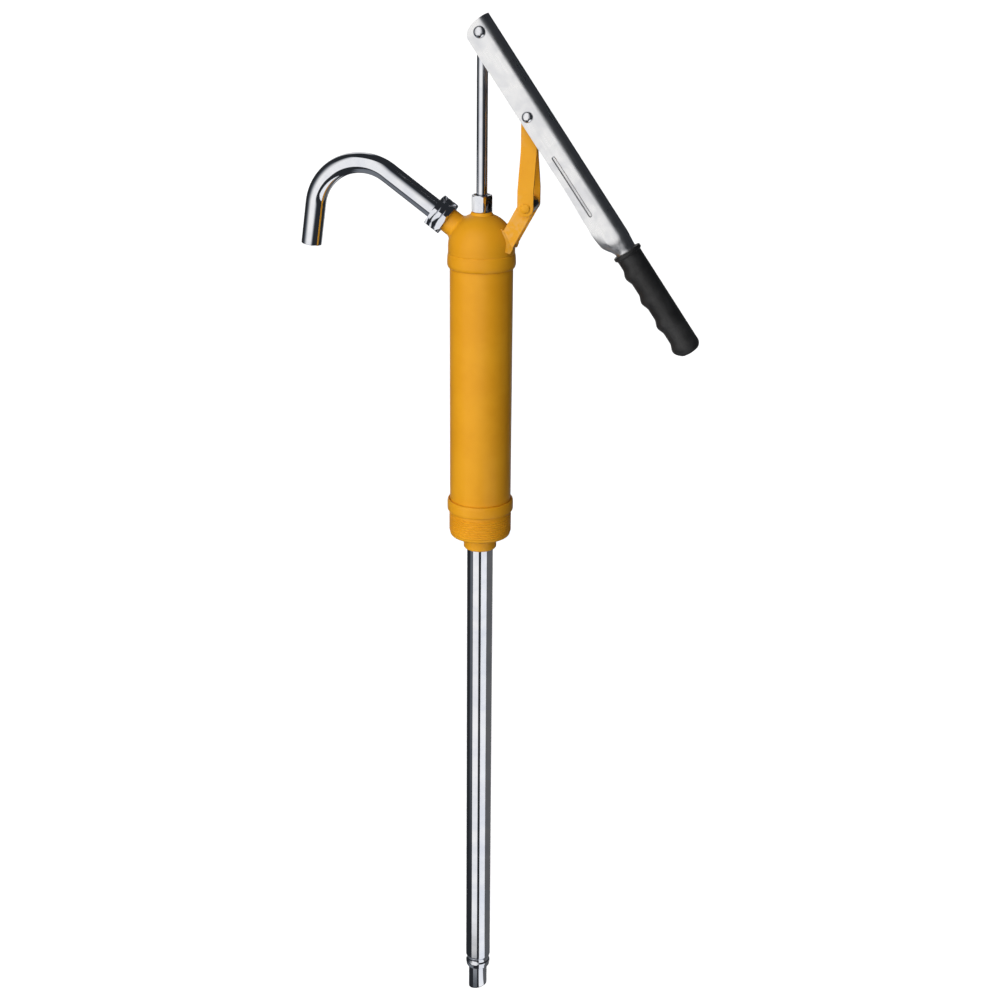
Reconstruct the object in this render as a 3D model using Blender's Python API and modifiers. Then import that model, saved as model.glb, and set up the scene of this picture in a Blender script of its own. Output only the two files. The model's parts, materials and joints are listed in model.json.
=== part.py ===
"""Lever-action drum pump: painted barrel and domed head, hooked spout, floating-link
lever, bung adapter and telescopic suction tube.

Metres, +Z up. The origin is on the pump's axis, in the plane where the bung flange seats
on the drum. The spout points to -X, the lever to +X, and the front is -Y. The pump is at
rest with its rod fully raised and its handle down.
"""

import math

import bmesh
import bpy
from mathutils import Matrix, Vector

GAP = 0.0003  # between pieces that touch
RUNNING = 0.0001  # radial clearance of a turning or sliding fit

# Barrel
BARREL_R = 0.0292
BARREL_WALL = 0.0015
BARREL_BOTTOM = 0.0033
BARREL_TOP = 0.2480
GASKET_THICK = 0.0007

# Domed head
DOME_Z = 0.2560  # centre of the dome
DOME_R = 0.0308
DOME_INNER_R = 0.0284
SKIRT_BOTTOM = 0.2366
SKIRT_INNER_R = BARREL_R + GAP
SHOULDER_Z = 0.2492
NECK_R = 0.0072
NECK_BORE_R = 0.0063
NECK_TOP = 0.2935
INNER_BOSS_R = 0.0095
INNER_BOSS_BOTTOM = 0.2720

# Rod and its gland
ROD_R = 0.0050
ROD_THREAD_R = 0.0040
BUSH_WALL = 0.0009
BUSH_BOTTOM = 0.2722
GLAND_BOTTOM = 0.2880
GLAND_TOP = 0.3030
GLAND_AF = 0.0180
GLAND_RECESS_R = 0.0070
GLAND_RECESS_DEPTH = 0.0018
PACKING_LENGTH = 0.0053
GLAND_CORNER = math.radians(-70)  # one corner of the hexagon, about Z from +X

# Outlet and spout
OUTLET_RISE = math.radians(35.5)
OUTLET_R = 0.0114
OUTLET_THREAD_R = 0.0108
OUTLET_BORE_R = 0.0082
OUTLET_SHOULDER = 0.0384  # distances along the outlet from the dome's centre
OUTLET_END = 0.0460
UNION_START = 0.0390
UNION_END = 0.0542
UNION_COLLAR = 0.0506  # where the nut's bore narrows to the spout
UNION_AF = 0.0310
UNION_TURN = math.radians(19)
SPOUT_R = 0.00953
SPOUT_WALL = 0.0012
SPOUT_START = 0.0475
SPOUT_BEND_START = 0.1074
SPOUT_BEND_R = 0.0447
SPOUT_LEG_LEAN = math.radians(8.1)  # the leg's lean from the vertical
SPOUT_LEG = 0.0390

# Bung adapter and suction tube
FLANGE_R = 0.03165
FLANGE_TOP = 0.0113
FLANGE_INNER_R = BARREL_R + GAP
THREAD_R = 0.0298  # 2 inch pipe thread, 59.6 mm outside
THREAD_ROOT_R = 0.0286
THREAD_PITCH = 0.00231
THREAD_TURNS = 9
THREAD_START = -0.0030
ADAPTER_BOTTOM = -0.0260
BOSS_R = 0.0159
BOSS_BOTTOM = -0.0400
BOWL_FLOOR = -0.0140
BOWL_R = 0.0250
SUCTION_PORT_R = 0.0105
TUBE_R = 0.0127  # 1 inch tube
TUBE_WALL = 0.0013
TUBE_TOP = -0.0203
TUBE_BOTTOM = -0.5220
INNER_TUBE_R = 0.0095
INNER_TUBE_WALL = 0.0010
INNER_TUBE_TOP = -0.1100
INNER_TUBE_BOTTOM = -0.5480  # on the tube's axis
INNER_TUBE_CUT = math.radians(13)
GUIDE_RING = (-0.5080, -0.4920)
STOP_RING_LENGTH = 0.0080

# Foot valve, in the adapter's bowl
VALVE_SEAT = (0.0110, 0.0145, 0.0010)  # inner radius, outer radius and thickness
VALVE_DISC_R = 0.0140
VALVE_DISC_THICK = 0.0016
CAGE_R = 0.0190
CAGE_INNER_R = 0.0152
CAGE_TOP = -0.0040
CAGE_WALL = 0.0015
CAGE_HOLE_R = 0.0060
CAGE_WINDOWS = 3

# Linkage: A joins rod and lever, B joins lever and link, C joins link and bracket
PIVOT_A = Vector((0.0, 0.0, 0.4463))
PIVOT_B = Vector((0.0435, 0.0, 0.3751))
PIVOT_C = Vector((0.0435, 0.0, 0.2954))
PIN_R = 0.0040
RIVET_R = 0.0035
PIN_SLIP = 0.0002  # radial clearance of a hole or spacer on its pin
EYE_R = 0.0080
EYE_HALF = 0.0045
EYE_SOCKET_R = 0.0062
EYE_SOCKET = (0.0135, 0.0058)  # its bottom and top, below pivot A
ROD_TOP = 0.0090  # below pivot A

ROD_PIN_HEAD = (0.0054, 0.0031)  # radius and height
FULCRUM_HEAD = (0.0050, 0.0029)
BRACKET_HEAD = (0.0040, 0.0013)
ROD_SPACER_R = 0.0052
FULCRUM_SPACER_R = 0.0050
FULCRUM_WASHER_R = 0.0068
BRACKET_SPACER_R = 0.0072
FULCRUM_PLAY = 0.0008  # the link's ends stay this clear of the channel's walls

# Bracket ears, each with a foot bent outwards onto the dome
EAR_Y = 0.0126  # middle of the ear's thickness
EAR_THICK = 0.0025
EAR_END_R = 0.0073
EAR_BASE = Vector((0.0275, 0.0, 0.2660))
FOOT_INNER_R = DOME_R + GAP
FOOT_OUTER_R = FOOT_INNER_R + 0.0022

# Link straps, close together at the lever and spread round the ears
STRAP_WIDTH = 0.0147
STRAP_THICK = 0.0026
STRAP_UPPER_Y = 0.0026  # middle of the strap's thickness
STRAP_LOWER_Y = EAR_Y + EAR_THICK / 2 + GAP + STRAP_THICK / 2
STRAP_BENDS = (0.0150, 0.0490)  # heights above pivot C where the offset starts and ends

# Lever, in its own frame: x along the lever from A, z towards the web
LEVER_LEAN = math.radians(55.05)  # slope of the lever below the horizontal
LEVER_HALF = 0.0125
LEVER_WALL = 0.0018
LEVER_WEB = 0.0116
LEVER_EDGE = -0.0126
LEVER_CORNER_R = 0.0075
LEVER_START = -0.0102
LEVER_CURL_START = 0.1650
LEVER_CURL_END = 0.2220
LEVER_CURL = math.radians(32)
LEVER_CURL_Z = -0.0060
LEVER_TUBE_START = 0.2300
LEVER_TUBE_END = 0.3220
LEVER_TUBE_R = 0.0099
LEVER_TUBE_Z = LEVER_WEB - LEVER_TUBE_R
SLOT = (0.1240, 0.1870, -0.0052, 0.0027)  # start, end, height and width

# Grip, in the lever's frame
GRIP_START = 0.2300
GRIP_END = 0.3390
GRIP_R = 0.01185
GRIP_FLANGE_R = 0.0135
GRIP_Z = 0.00195
GRIP_BUMP = 0.0023
GRIP_BUMPS = (0.2510, 0.2775, 0.3040, 0.3300)

# Piston: a stack on the rod's thread, from the shoulder down
PISTON_SHOULDER = 0.2300
ROD_BOTTOM = 0.2020
STOP_THICK = 0.0020
SLEEVE_LENGTH = 0.0063
PLATE_THICK = 0.0030
CUP_THICK = 0.0027
BACKING_THICK = 0.0022
LOCK_THICK = 0.0012
PISTON_NUT_LENGTH = 0.0063
STOP_R = 0.0120
SLEEVE_R = 0.0060
PLATE_R = 0.0260
CUP_LIP_R = 0.0263  # inside the cup's rim
CUP_RIM = 0.0065  # the rim's height above the cup's floor
BACKING_R = 0.0240
LOCK_R = 0.0078
PISTON_NUT_AF = 0.0130
PISTON_DISC_R = 0.0190
PISTON_DISC_THICK = 0.0016
PISTON_PORT_R = 0.0030
PISTON_PORTS = 6
PISTON_PORT_CIRCLE = 0.0140

SIDES = 24
BIG_SIDES = 32  # for the barrel and what fits it
RIVET_SIDES = 20
WALL_POINTS = 4  # along half of the lever's section
CORNER_POINTS = 4
GRIP_SIDES = 18


def clear_scene():
    for obj in list(bpy.data.objects):
        bpy.data.objects.remove(obj)


def collection(name, hidden=False):
    made = bpy.data.collections.new(name)
    bpy.context.scene.collection.children.link(made)
    made.hide_render = hidden
    return made


def material(name, colour, roughness, metallic):
    made = bpy.data.materials.new(name)
    made.use_nodes = True
    shader = made.node_tree.nodes["Principled BSDF"]
    shader.inputs["Base Color"].default_value = (*colour, 1.0)
    shader.inputs["Roughness"].default_value = roughness
    shader.inputs["Metallic"].default_value = metallic
    made.diffuse_color = (*colour, 1.0)
    return made


clear_scene()
PARTS = collection("fluid_transfer_pump")
CUTTERS = collection("cutters", hidden=True)
PAINT = material("amber_paint", (0.774, 0.352, 0.021), 0.35, 0.0)
CHROME = material("chrome", (0.75, 0.75, 0.76), 0.08, 1.0)
STEEL = material("steel", (0.55, 0.55, 0.56), 0.30, 1.0)
BRASS = material("brass", (0.70, 0.52, 0.22), 0.30, 1.0)
RUBBER = material("black_rubber", (0.02, 0.02, 0.02), 0.60, 0.0)
LEATHER = material("cup_leather", (0.25, 0.12, 0.05), 0.70, 0.0)
NYLON = material("nylon", (0.75, 0.73, 0.66), 0.50, 0.0)


def empty(name, at, turn=(0.0, 0.0, 0.0)):
    """A pivot that stands on a joint's axis, with the moving pieces as its children."""
    made = bpy.data.objects.new(name, None)
    made.empty_display_size = 0.02
    made.location = at
    made.rotation_euler = turn
    PARTS.objects.link(made)
    return made


def place(obj, finish, parent=None, at=(0.0, 0.0, 0.0), turn=(0.0, 0.0, 0.0)):
    obj.data.materials.clear()
    obj.data.materials.append(finish)
    obj.location = at
    obj.rotation_euler = turn
    obj.parent = parent
    PARTS.objects.link(obj)
    return obj


def mesh_object(name, bm, smooth=True):
    mesh = bpy.data.meshes.new(name)
    bm.to_mesh(mesh)
    bm.free()
    for face in mesh.polygons:
        face.use_smooth = smooth
    return bpy.data.objects.new(name, mesh)


def turned(name, profile, closed=True, steps=SIDES):
    """A profile of (radius, height) turned about Z. It runs down the outer side, then up
    the bore; an open profile starts and ends on the axis."""
    mesh = bpy.data.meshes.new(name)
    edges = [(i, i + 1) for i in range(len(profile) - 1)]
    if closed:
        edges.append((len(profile) - 1, 0))
    mesh.from_pydata([(r, 0.0, z) for r, z in profile], edges, [])
    obj = bpy.data.objects.new(name, mesh)
    screw = obj.modifiers.new("turn", "SCREW")
    screw.steps = steps
    screw.render_steps = steps
    screw.merge_threshold = 0.000001
    screw.use_merge_vertices = True
    return obj


def ring(name, inner, outer, low, high, steps=SIDES):
    return turned(name, [(outer, high), (outer, low), (inner, low), (inner, high)], steps=steps)


def arc(centre, radius, start, end, count):
    """Points (a, b) along an arc, angles in degrees, both ends included."""
    return [
        (
            centre[0] + radius * math.cos(math.radians(start + (end - start) * i / count)),
            centre[1] + radius * math.sin(math.radians(start + (end - start) * i / count)),
        )
        for i in range(count + 1)
    ]


def as_mesh(obj):
    """The evaluated object as a plain mesh with its caps welded; the original is removed."""
    bpy.context.scene.collection.objects.link(obj)
    bpy.context.view_layer.update()
    graph = bpy.context.evaluated_depsgraph_get()
    mesh = bpy.data.meshes.new_from_object(obj.evaluated_get(graph))
    name = obj.name
    bpy.data.objects.remove(obj)
    bm = bmesh.new()
    bm.from_mesh(mesh)
    bmesh.ops.remove_doubles(bm, verts=bm.verts, dist=0.000001)
    bm.to_mesh(mesh)
    bm.free()
    return bpy.data.objects.new(name, mesh)


def plate(name, outline, low, high):
    """A flat piece with its outline of (x, z) points, between two values of y."""
    curve = bpy.data.curves.new(name, "CURVE")
    curve.dimensions = "2D"
    curve.fill_mode = "BOTH"
    curve.extrude = (high - low) / 2
    spline = curve.splines.new("POLY")
    spline.points.add(len(outline) - 1)
    for point, (x, z) in zip(spline.points, outline):
        point.co = (x, z, 0.0, 1.0)
    spline.use_cyclic_u = True
    made = as_mesh(bpy.data.objects.new(name, curve))
    middle = Matrix.Translation((0.0, (low + high) / 2, 0.0))
    made.data.transform(middle @ Matrix.Rotation(math.pi / 2, 4, "X"))
    return made


def cylinder(name, radius, low, high, axis="Z", steps=SIDES, at=(0.0, 0.0, 0.0)):
    """A plain cylinder along an axis through the point `at`."""
    bm = bmesh.new()
    bmesh.ops.create_cone(
        bm, cap_ends=True, segments=steps, radius1=radius, radius2=radius, depth=high - low
    )
    turn = {
        "X": Matrix.Rotation(math.pi / 2, 4, "Y"),
        "Y": Matrix.Rotation(-math.pi / 2, 4, "X"),
        "Z": Matrix.Identity(4),
    }[axis]
    middle = Matrix.Translation((0.0, 0.0, (low + high) / 2))
    bmesh.ops.transform(bm, matrix=Matrix.Translation(at) @ turn @ middle, verts=bm.verts)
    return mesh_object(name, bm)


def box(name, low, high):
    bm = bmesh.new()
    bmesh.ops.create_cube(bm, size=1.0)
    low, high = Vector(low), Vector(high)
    size = Matrix.Diagonal((*(high - low), 1.0))
    bmesh.ops.transform(bm, matrix=Matrix.Translation((low + high) / 2) @ size, verts=bm.verts)
    return mesh_object(name, bm, smooth=False)


def ball(name, radius, at):
    bm = bmesh.new()
    bmesh.ops.create_uvsphere(bm, u_segments=48, v_segments=32, radius=radius)
    bmesh.ops.translate(bm, vec=at, verts=bm.verts)
    return mesh_object(name, bm)


def combine(obj, tool, operation):
    """Joins, cuts or crosses obj with a tool that shares its parent's frame."""
    CUTTERS.objects.link(tool)
    tool.parent = obj.parent
    tool.display_type = "WIRE"
    tool.hide_render = True
    modifier = obj.modifiers.new(tool.name, "BOOLEAN")
    modifier.operation = operation
    modifier.object = tool
    modifier.solver = "EXACT"
    return obj


def cut(obj, tool):
    return combine(obj, tool, "DIFFERENCE")


def join(obj, tool):
    return combine(obj, tool, "UNION")


def cross(obj, tool):
    return combine(obj, tool, "INTERSECT")


def nut(name, across_flats, corner, envelope, bore, finish, parent=None):
    """A hexagon bar crossed with a turned envelope, which bevels and grooves its corners.
    corner is the angle of one corner about Z, from +X."""
    low = min(z for _, z in envelope)
    high = max(z for _, z in envelope)
    bar = cylinder(name, across_flats / math.sqrt(3), low - 0.01, high + 0.01, steps=6)
    # The bar's first corner is made on +Y.
    bar.data.transform(Matrix.Rotation(corner - math.pi / 2, 4, "Z"))
    made = place(bar, finish, parent)
    cross(made, turned(name + "_envelope", envelope, closed=False))
    cut(made, turned(name + "_bore", bore, closed=False))
    return made


def rivet_profile(head_r, head_h, shank_r, half):
    """Half of a domed rivet, from the outer pole down to mid-length: (radius, height).
    half is where the plate's face is."""
    base = half + GAP
    dome = [
        (head_r * math.sin(math.radians(a)), base + head_h * math.cos(math.radians(a)))
        for a in (0, 20, 40, 60, 78)
    ]
    return dome + [(head_r, base), (shank_r, base)]


def rivet(name, head_r, head_h, shank_r, half, finish, parent, at):
    """A rivet across Y with a domed head on each side."""
    upper = rivet_profile(head_r, head_h, shank_r, half)
    lower = [(r, -z) for r, z in reversed(upper)]
    made = turned(name, upper + lower, closed=False, steps=RIVET_SIDES)
    return place(made, finish, parent, at, (math.pi / 2, 0.0, 0.0))


# ---------------------------------------------------------------- head, barrel and gland


def outlet_frame():
    """The outlet's own frame: z along the outlet, out from the dome's centre."""
    turn = (0.0, OUTLET_RISE - math.pi / 2, 0.0)
    return empty("spout_swivel", (0.0, 0.0, DOME_Z), turn)


def along_outlet(obj):
    """Moves a tool from the outlet's frame into the pump's frame."""
    turn = Matrix.Rotation(OUTLET_RISE - math.pi / 2, 4, "Y")
    obj.matrix_basis = Matrix.Translation((0.0, 0.0, DOME_Z)) @ turn
    return obj


def head_dome():
    neck_angle = math.degrees(math.acos(NECK_R / DOME_R))
    boss_angle = math.degrees(math.acos(INNER_BOSS_R / DOME_INNER_R))
    outside = [(0.0, NECK_TOP), (NECK_R, NECK_TOP)]
    outside += arc((0.0, DOME_Z), DOME_R, neck_angle, 0, 8)
    outside += [
        (DOME_R, 0.2503),
        (0.0311, 0.2496),
        (0.0315, 0.2460),
        (0.0317, 0.2420),
        (0.0315, 0.2390),
        (0.0308, 0.2372),
        (0.0302, SKIRT_BOTTOM),
        (0.0, SKIRT_BOTTOM),
    ]
    head = place(turned("head_dome", outside, closed=False, steps=BIG_SIDES), PAINT)
    boss = [
        (0.0, OUTLET_END),
        (OUTLET_THREAD_R, OUTLET_END),
        (OUTLET_THREAD_R, OUTLET_SHOULDER),
        (OUTLET_R, OUTLET_SHOULDER),
        (OUTLET_R + 0.0002, 0.0335),
        (OUTLET_R + 0.0016, 0.0285),
        (OUTLET_R + 0.0016, 0.0200),
        (0.0, 0.0200),
    ]
    join(head, along_outlet(turned("outlet_boss", boss, closed=False)))
    hollow = [(0.0, INNER_BOSS_BOTTOM), (INNER_BOSS_R, INNER_BOSS_BOTTOM)]
    hollow += arc((0.0, DOME_Z), DOME_INNER_R, boss_angle, 0, 5)
    hollow += [
        (DOME_INNER_R, SHOULDER_Z),
        (SKIRT_INNER_R, SHOULDER_Z),
        (SKIRT_INNER_R, SKIRT_BOTTOM - 0.001),
        (0.0, SKIRT_BOTTOM - 0.001),
    ]
    cut(head, turned("dome_hollow", hollow, closed=False, steps=BIG_SIDES))
    cut(head, cylinder("neck_bore", NECK_BORE_R, 0.2600, NECK_TOP + 0.01))
    bore = cylinder("outlet_bore", OUTLET_BORE_R, 0.0200, OUTLET_END + 0.01, steps=SIDES)
    cut(head, along_outlet(bore))


def barrel():
    """The barrel, with a flat gasket above it and another under it."""
    inner = BARREL_R - BARREL_WALL
    tube = ring("barrel_tube", inner, BARREL_R, BARREL_BOTTOM, BARREL_TOP, BIG_SIDES)
    place(tube, PAINT)
    above = BARREL_TOP + GAP / 2
    below = BARREL_BOTTOM - GAP
    levels = (("head_gasket", above), ("barrel_foot_gasket", below - GASKET_THICK))
    for name, low in levels:
        place(ring(name, inner, BARREL_R, low, low + GASKET_THICK, BIG_SIDES), RUBBER)


def gland():
    bush_outer = ROD_R + RUNNING + BUSH_WALL
    bush_top = NECK_TOP - GAP
    place(ring("rod_guide_bush", ROD_R + RUNNING, bush_outer, BUSH_BOTTOM, bush_top), BRASS)
    nut_bore = NECK_R + 0.0002
    packing_bottom = NECK_TOP + GAP
    packing_top = packing_bottom + PACKING_LENGTH
    packing = ring("gland_packing", ROD_R + RUNNING, nut_bore - GAP, packing_bottom, packing_top)
    place(packing, RUBBER)
    corner = GLAND_AF / math.sqrt(3)
    envelope = [
        (0.0, GLAND_TOP),
        (corner * 0.88, GLAND_TOP),
        (corner * 1.01, GLAND_TOP - 0.0012),
        (corner * 1.01, GLAND_BOTTOM + 0.0010),
        (corner * 0.90, GLAND_BOTTOM),
        (0.0, GLAND_BOTTOM),
    ]
    rod_bore = ROD_R + 0.0004
    recess_floor = GLAND_TOP - GLAND_RECESS_DEPTH
    bore = [
        (0.0, GLAND_TOP + 0.001),
        (GLAND_RECESS_R, GLAND_TOP + 0.001),
        (GLAND_RECESS_R, recess_floor),
        (rod_bore, recess_floor - 0.0004),
        (rod_bore, packing_top + GAP),
        (nut_bore, packing_top + GAP),
        (nut_bore, GLAND_BOTTOM - 0.001),
        (0.0, GLAND_BOTTOM - 0.001),
    ]
    nut("gland_nut", GLAND_AF, GLAND_CORNER, envelope, bore, CHROME)


def ear_outline():
    """Round end about pivot C, straight sides down into the dome."""
    down = (EAR_BASE - PIVOT_C).normalized()
    heading = math.degrees(math.atan2(down.z, down.x))
    end = arc((PIVOT_C.x, PIVOT_C.z), EAR_END_R, heading + 90, heading + 270, 10)
    side = Vector((-down.z, 0.0, down.x)) * EAR_END_R
    low = EAR_BASE + down * 0.006
    return end + [(low.x - side.x, low.z - side.z), (low.x + side.x, low.z + side.z)]


def bracket_ear(name, side):
    """One ear of the lever bracket with the foot that is welded to the dome."""
    inner, outer = EAR_Y - EAR_THICK / 2, EAR_Y + EAR_THICK / 2
    low, high = sorted((side * inner, side * outer))
    ear = place(plate(name, ear_outline(), low, high), PAINT)
    foot_outline = [
        (0.0215, 0.2760),
        (0.0270, 0.2760),
        (0.0340, 0.2595),
        (0.0315, 0.2530),
        (0.0252, 0.2538),
    ]
    low, high = sorted((side * (inner + 0.0004), side * (outer + 0.0075)))
    foot = plate(name + "_foot", foot_outline, low, high)
    cross(foot, ball(name + "_foot_skin", FOOT_OUTER_R, (0.0, 0.0, DOME_Z)))
    join(ear, foot)
    cut(ear, ball(name + "_dome_space", FOOT_INNER_R, (0.0, 0.0, DOME_Z)))
    skirt = cylinder(name + "_skirt_space", FOOT_INNER_R, 0.2450, DOME_Z, steps=48)
    cut(ear, skirt)
    hole = cylinder(name + "_hole", RIVET_R + RUNNING, -0.03, 0.03, "Y", 24, PIVOT_C)
    cut(ear, hole)


# ---------------------------------------------------------------- spout


def union_nut(frame):
    corner = UNION_AF / math.sqrt(3) * 1.01
    groove = UNION_AF / 2 + 0.0003
    length = UNION_END - UNION_START
    envelope = [(0.0, UNION_END), (corner * 0.90, UNION_END), (corner, UNION_END - 0.0014)]
    for share in (2 / 3, 1 / 3):
        middle = UNION_START + length * share
        envelope += [
            (corner, middle + 0.0009),
            (groove, middle + 0.0002),
            (groove, middle - 0.0002),
            (corner, middle - 0.0009),
        ]
    envelope += [(corner, UNION_START + 0.0014), (corner * 0.90, UNION_START), (0.0, UNION_START)]
    cavity = OUTLET_THREAD_R + GAP
    bore = [
        (0.0, UNION_END + 0.001),
        (SPOUT_R + GAP, UNION_END + 0.001),
        (SPOUT_R + GAP, UNION_COLLAR),
        (cavity, UNION_COLLAR),
        (cavity, UNION_START - 0.001),
        (0.0, UNION_START - 0.001),
    ]
    nut("union_nut", UNION_AF, UNION_TURN, envelope, bore, CHROME, frame)
    low, high = OUTLET_END + GAP, SPOUT_START - 0.0004
    place(ring("union_gasket", 0.0086, OUTLET_THREAD_R - 0.0001, low, high), RUBBER, frame)


def spout_path():
    """Straight out of the nut, round the bend and down the leg, in the outlet's frame,
    where x points back over the dome and down is towards -x."""
    bend = math.pi / 2 + OUTLET_RISE - SPOUT_LEG_LEAN
    points = [Vector((0.0, 0.0, SPOUT_START)), Vector((0.0, 0.0, SPOUT_BEND_START * 0.75))]
    count = 12
    for i in range(count + 1):
        angle = bend * i / count
        points.append(
            Vector(
                (
                    -SPOUT_BEND_R * (1 - math.cos(angle)),
                    0.0,
                    SPOUT_BEND_START + SPOUT_BEND_R * math.sin(angle),
                )
            )
        )
    heading = Vector((-math.sin(bend), 0.0, math.cos(bend)))
    points.append(points[-1] + heading * SPOUT_LEG)
    return points


def spout(frame):
    curve = bpy.data.curves.new("spout_tube", "CURVE")
    curve.dimensions = "3D"
    curve.bevel_depth = SPOUT_R
    curve.bevel_resolution = 6
    points = spout_path()
    spline = curve.splines.new("POLY")
    spline.points.add(len(points) - 1)
    for point, position in zip(spline.points, points):
        point.co = (*position, 1.0)
    tube = place(as_mesh(bpy.data.objects.new("spout_tube", curve)), CHROME, frame)
    wall = tube.modifiers.new("wall", "SOLIDIFY")
    wall.thickness = SPOUT_WALL
    wall.offset = -1.0
    low, high = SPOUT_START + 0.0001, UNION_COLLAR - GAP
    ferrule = ring("spout_ferrule", SPOUT_R + 0.0002, OUTLET_THREAD_R - 0.0001, low, high)
    place(ferrule, STEEL, frame)


# ---------------------------------------------------------------- bung adapter and suction


def thread_profile():
    points = []
    for turn in range(THREAD_TURNS):
        z = THREAD_START - turn * THREAD_PITCH
        points += [
            (THREAD_ROOT_R, z),
            (THREAD_R, z - THREAD_PITCH / 2),
        ]
    return points


def bung_adapter():
    outside = [
        (0.0301, FLANGE_TOP),
        (0.0308, FLANGE_TOP - 0.0002),
        (0.0313, FLANGE_TOP - 0.0010),
        (FLANGE_R, FLANGE_TOP - 0.0030),
        (FLANGE_R, 0.0020),
        (0.0315, 0.0006),
        (0.0312, 0.0),
        (THREAD_ROOT_R, 0.0),
    ]
    outside += thread_profile()
    outside += [
        (THREAD_ROOT_R - 0.0002, ADAPTER_BOTTOM + 0.0012),
        (THREAD_ROOT_R - 0.0014, ADAPTER_BOTTOM),
        (BOSS_R, ADAPTER_BOTTOM),
        (BOSS_R, BOSS_BOTTOM + 0.0012),
        (BOSS_R - 0.0010, BOSS_BOTTOM),
    ]
    socket = TUBE_R + GAP
    inside = [
        (socket, BOSS_BOTTOM),
        (socket, TUBE_TOP + GAP),
        (SUCTION_PORT_R, TUBE_TOP + GAP),
        (SUCTION_PORT_R, BOWL_FLOOR),
        (BOWL_R - 0.0010, BOWL_FLOOR),
        (BOWL_R, BOWL_FLOOR + 0.0010),
        (BOWL_R, 0.0),
        (BARREL_R - BARREL_WALL - GAP, 0.0020),
        (FLANGE_INNER_R, 0.0020),
        (FLANGE_INNER_R, FLANGE_TOP - 0.0010),
    ]
    place(turned("bung_adapter", outside + inside, steps=BIG_SIDES), PAINT)


def foot_valve():
    seat_inner, seat_outer, seat_thick = VALVE_SEAT
    seat_low = BOWL_FLOOR + GAP
    seat = ring("foot_valve_seat", seat_inner, seat_outer, seat_low, seat_low + seat_thick)
    place(seat, RUBBER)
    ceiling = CAGE_TOP - CAGE_WALL
    profile = [
        (CAGE_R, CAGE_TOP),
        (CAGE_R, seat_low),
        (CAGE_INNER_R, seat_low),
        (CAGE_INNER_R, ceiling),
        (CAGE_HOLE_R, ceiling),
        (CAGE_HOLE_R, CAGE_TOP),
    ]
    cage = place(turned("foot_valve_cage", profile), STEEL)
    for i in range(CAGE_WINDOWS):
        low = (0.0100, -0.0100, seat_low + 0.0017)
        high = (0.0250, 0.0100, ceiling - 0.0010)
        window = box(f"cage_window_{i}", low, high)
        window.rotation_euler = (0.0, 0.0, 2 * math.pi * i / CAGE_WINDOWS)
        cut(cage, window)
    lift = empty("foot_valve_lift", (0.0, 0.0, seat_low + seat_thick + GAP))
    disc = [
        (0.0, VALVE_DISC_THICK),
        (VALVE_DISC_R - 0.0004, VALVE_DISC_THICK),
        (VALVE_DISC_R, VALVE_DISC_THICK - 0.0004),
        (VALVE_DISC_R, 0.0),
        (0.0, 0.0),
    ]
    place(turned("foot_valve_disc", disc, closed=False), BRASS, lift)


def suction_tubes():
    outside = [
        (TUBE_R, TUBE_TOP),
        (TUBE_R, -0.5085),
        (TUBE_R - 0.0003, -0.5100),
        (0.0113, -0.5115),
        (0.0113, -0.5145),
        (0.0122, -0.5156),
        (0.0126, -0.5172),
        (0.0122, -0.5195),
        (0.0119, TUBE_BOTTOM + 0.0002),
        (0.0117, TUBE_BOTTOM),
    ]
    inside = [
        (0.0103, TUBE_BOTTOM),
        (0.0103, -0.5110),
        (TUBE_R - TUBE_WALL, -0.5090),
        (TUBE_R - TUBE_WALL, TUBE_TOP),
    ]
    place(turned("suction_tube_outer", outside + inside), CHROME)
    guide_outer = TUBE_R - TUBE_WALL - 0.0002
    place(ring("tube_guide_ring", INNER_TUBE_R + RUNNING, guide_outer, *GUIDE_RING), NYLON)

    slide = empty("suction_tube_slide", (0.0, 0.0, TUBE_BOTTOM))
    drop = INNER_TUBE_R * math.tan(INNER_TUBE_CUT) + 0.002
    low, high = INNER_TUBE_BOTTOM - drop - TUBE_BOTTOM, INNER_TUBE_TOP - TUBE_BOTTOM
    tube = ring("suction_tube_inner", INNER_TUBE_R - INNER_TUBE_WALL, INNER_TUBE_R, low, high)
    place(tube, CHROME, slide)
    end = box("inlet_cut", (-0.05, -0.05, -0.05), (0.05, 0.05, 0.0))
    end.location = (0.0, 0.0, INNER_TUBE_BOTTOM - TUBE_BOTTOM)
    end.rotation_euler = (0.0, -INNER_TUBE_CUT, 0.0)
    cut(tube, end)
    stop_low = high - STOP_RING_LENGTH
    stop = ring("inner_tube_stop", INNER_TUBE_R + 0.0002, guide_outer, stop_low, high)
    place(stop, NYLON, slide)


# ---------------------------------------------------------------- rod and piston


def ports(obj, low, high):
    """Cuts the ring of fluid ports through a piston plate."""
    for i in range(PISTON_PORTS):
        angle = 2 * math.pi * i / PISTON_PORTS
        at = (PISTON_PORT_CIRCLE * math.cos(angle), PISTON_PORT_CIRCLE * math.sin(angle), 0.0)
        tool = cylinder(f"{obj.name}_port_{i}", PISTON_PORT_R, low - 0.001, high + 0.001, "Z", 10, at)
        cut(obj, tool)


def stacked(top, thicknesses):
    """(low, high) of each piece of a stack that hangs from top, GAP apart."""
    levels = []
    for thick in thicknesses:
        high = top - GAP
        top = high - thick
        levels.append((top, high))
    return levels


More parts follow.
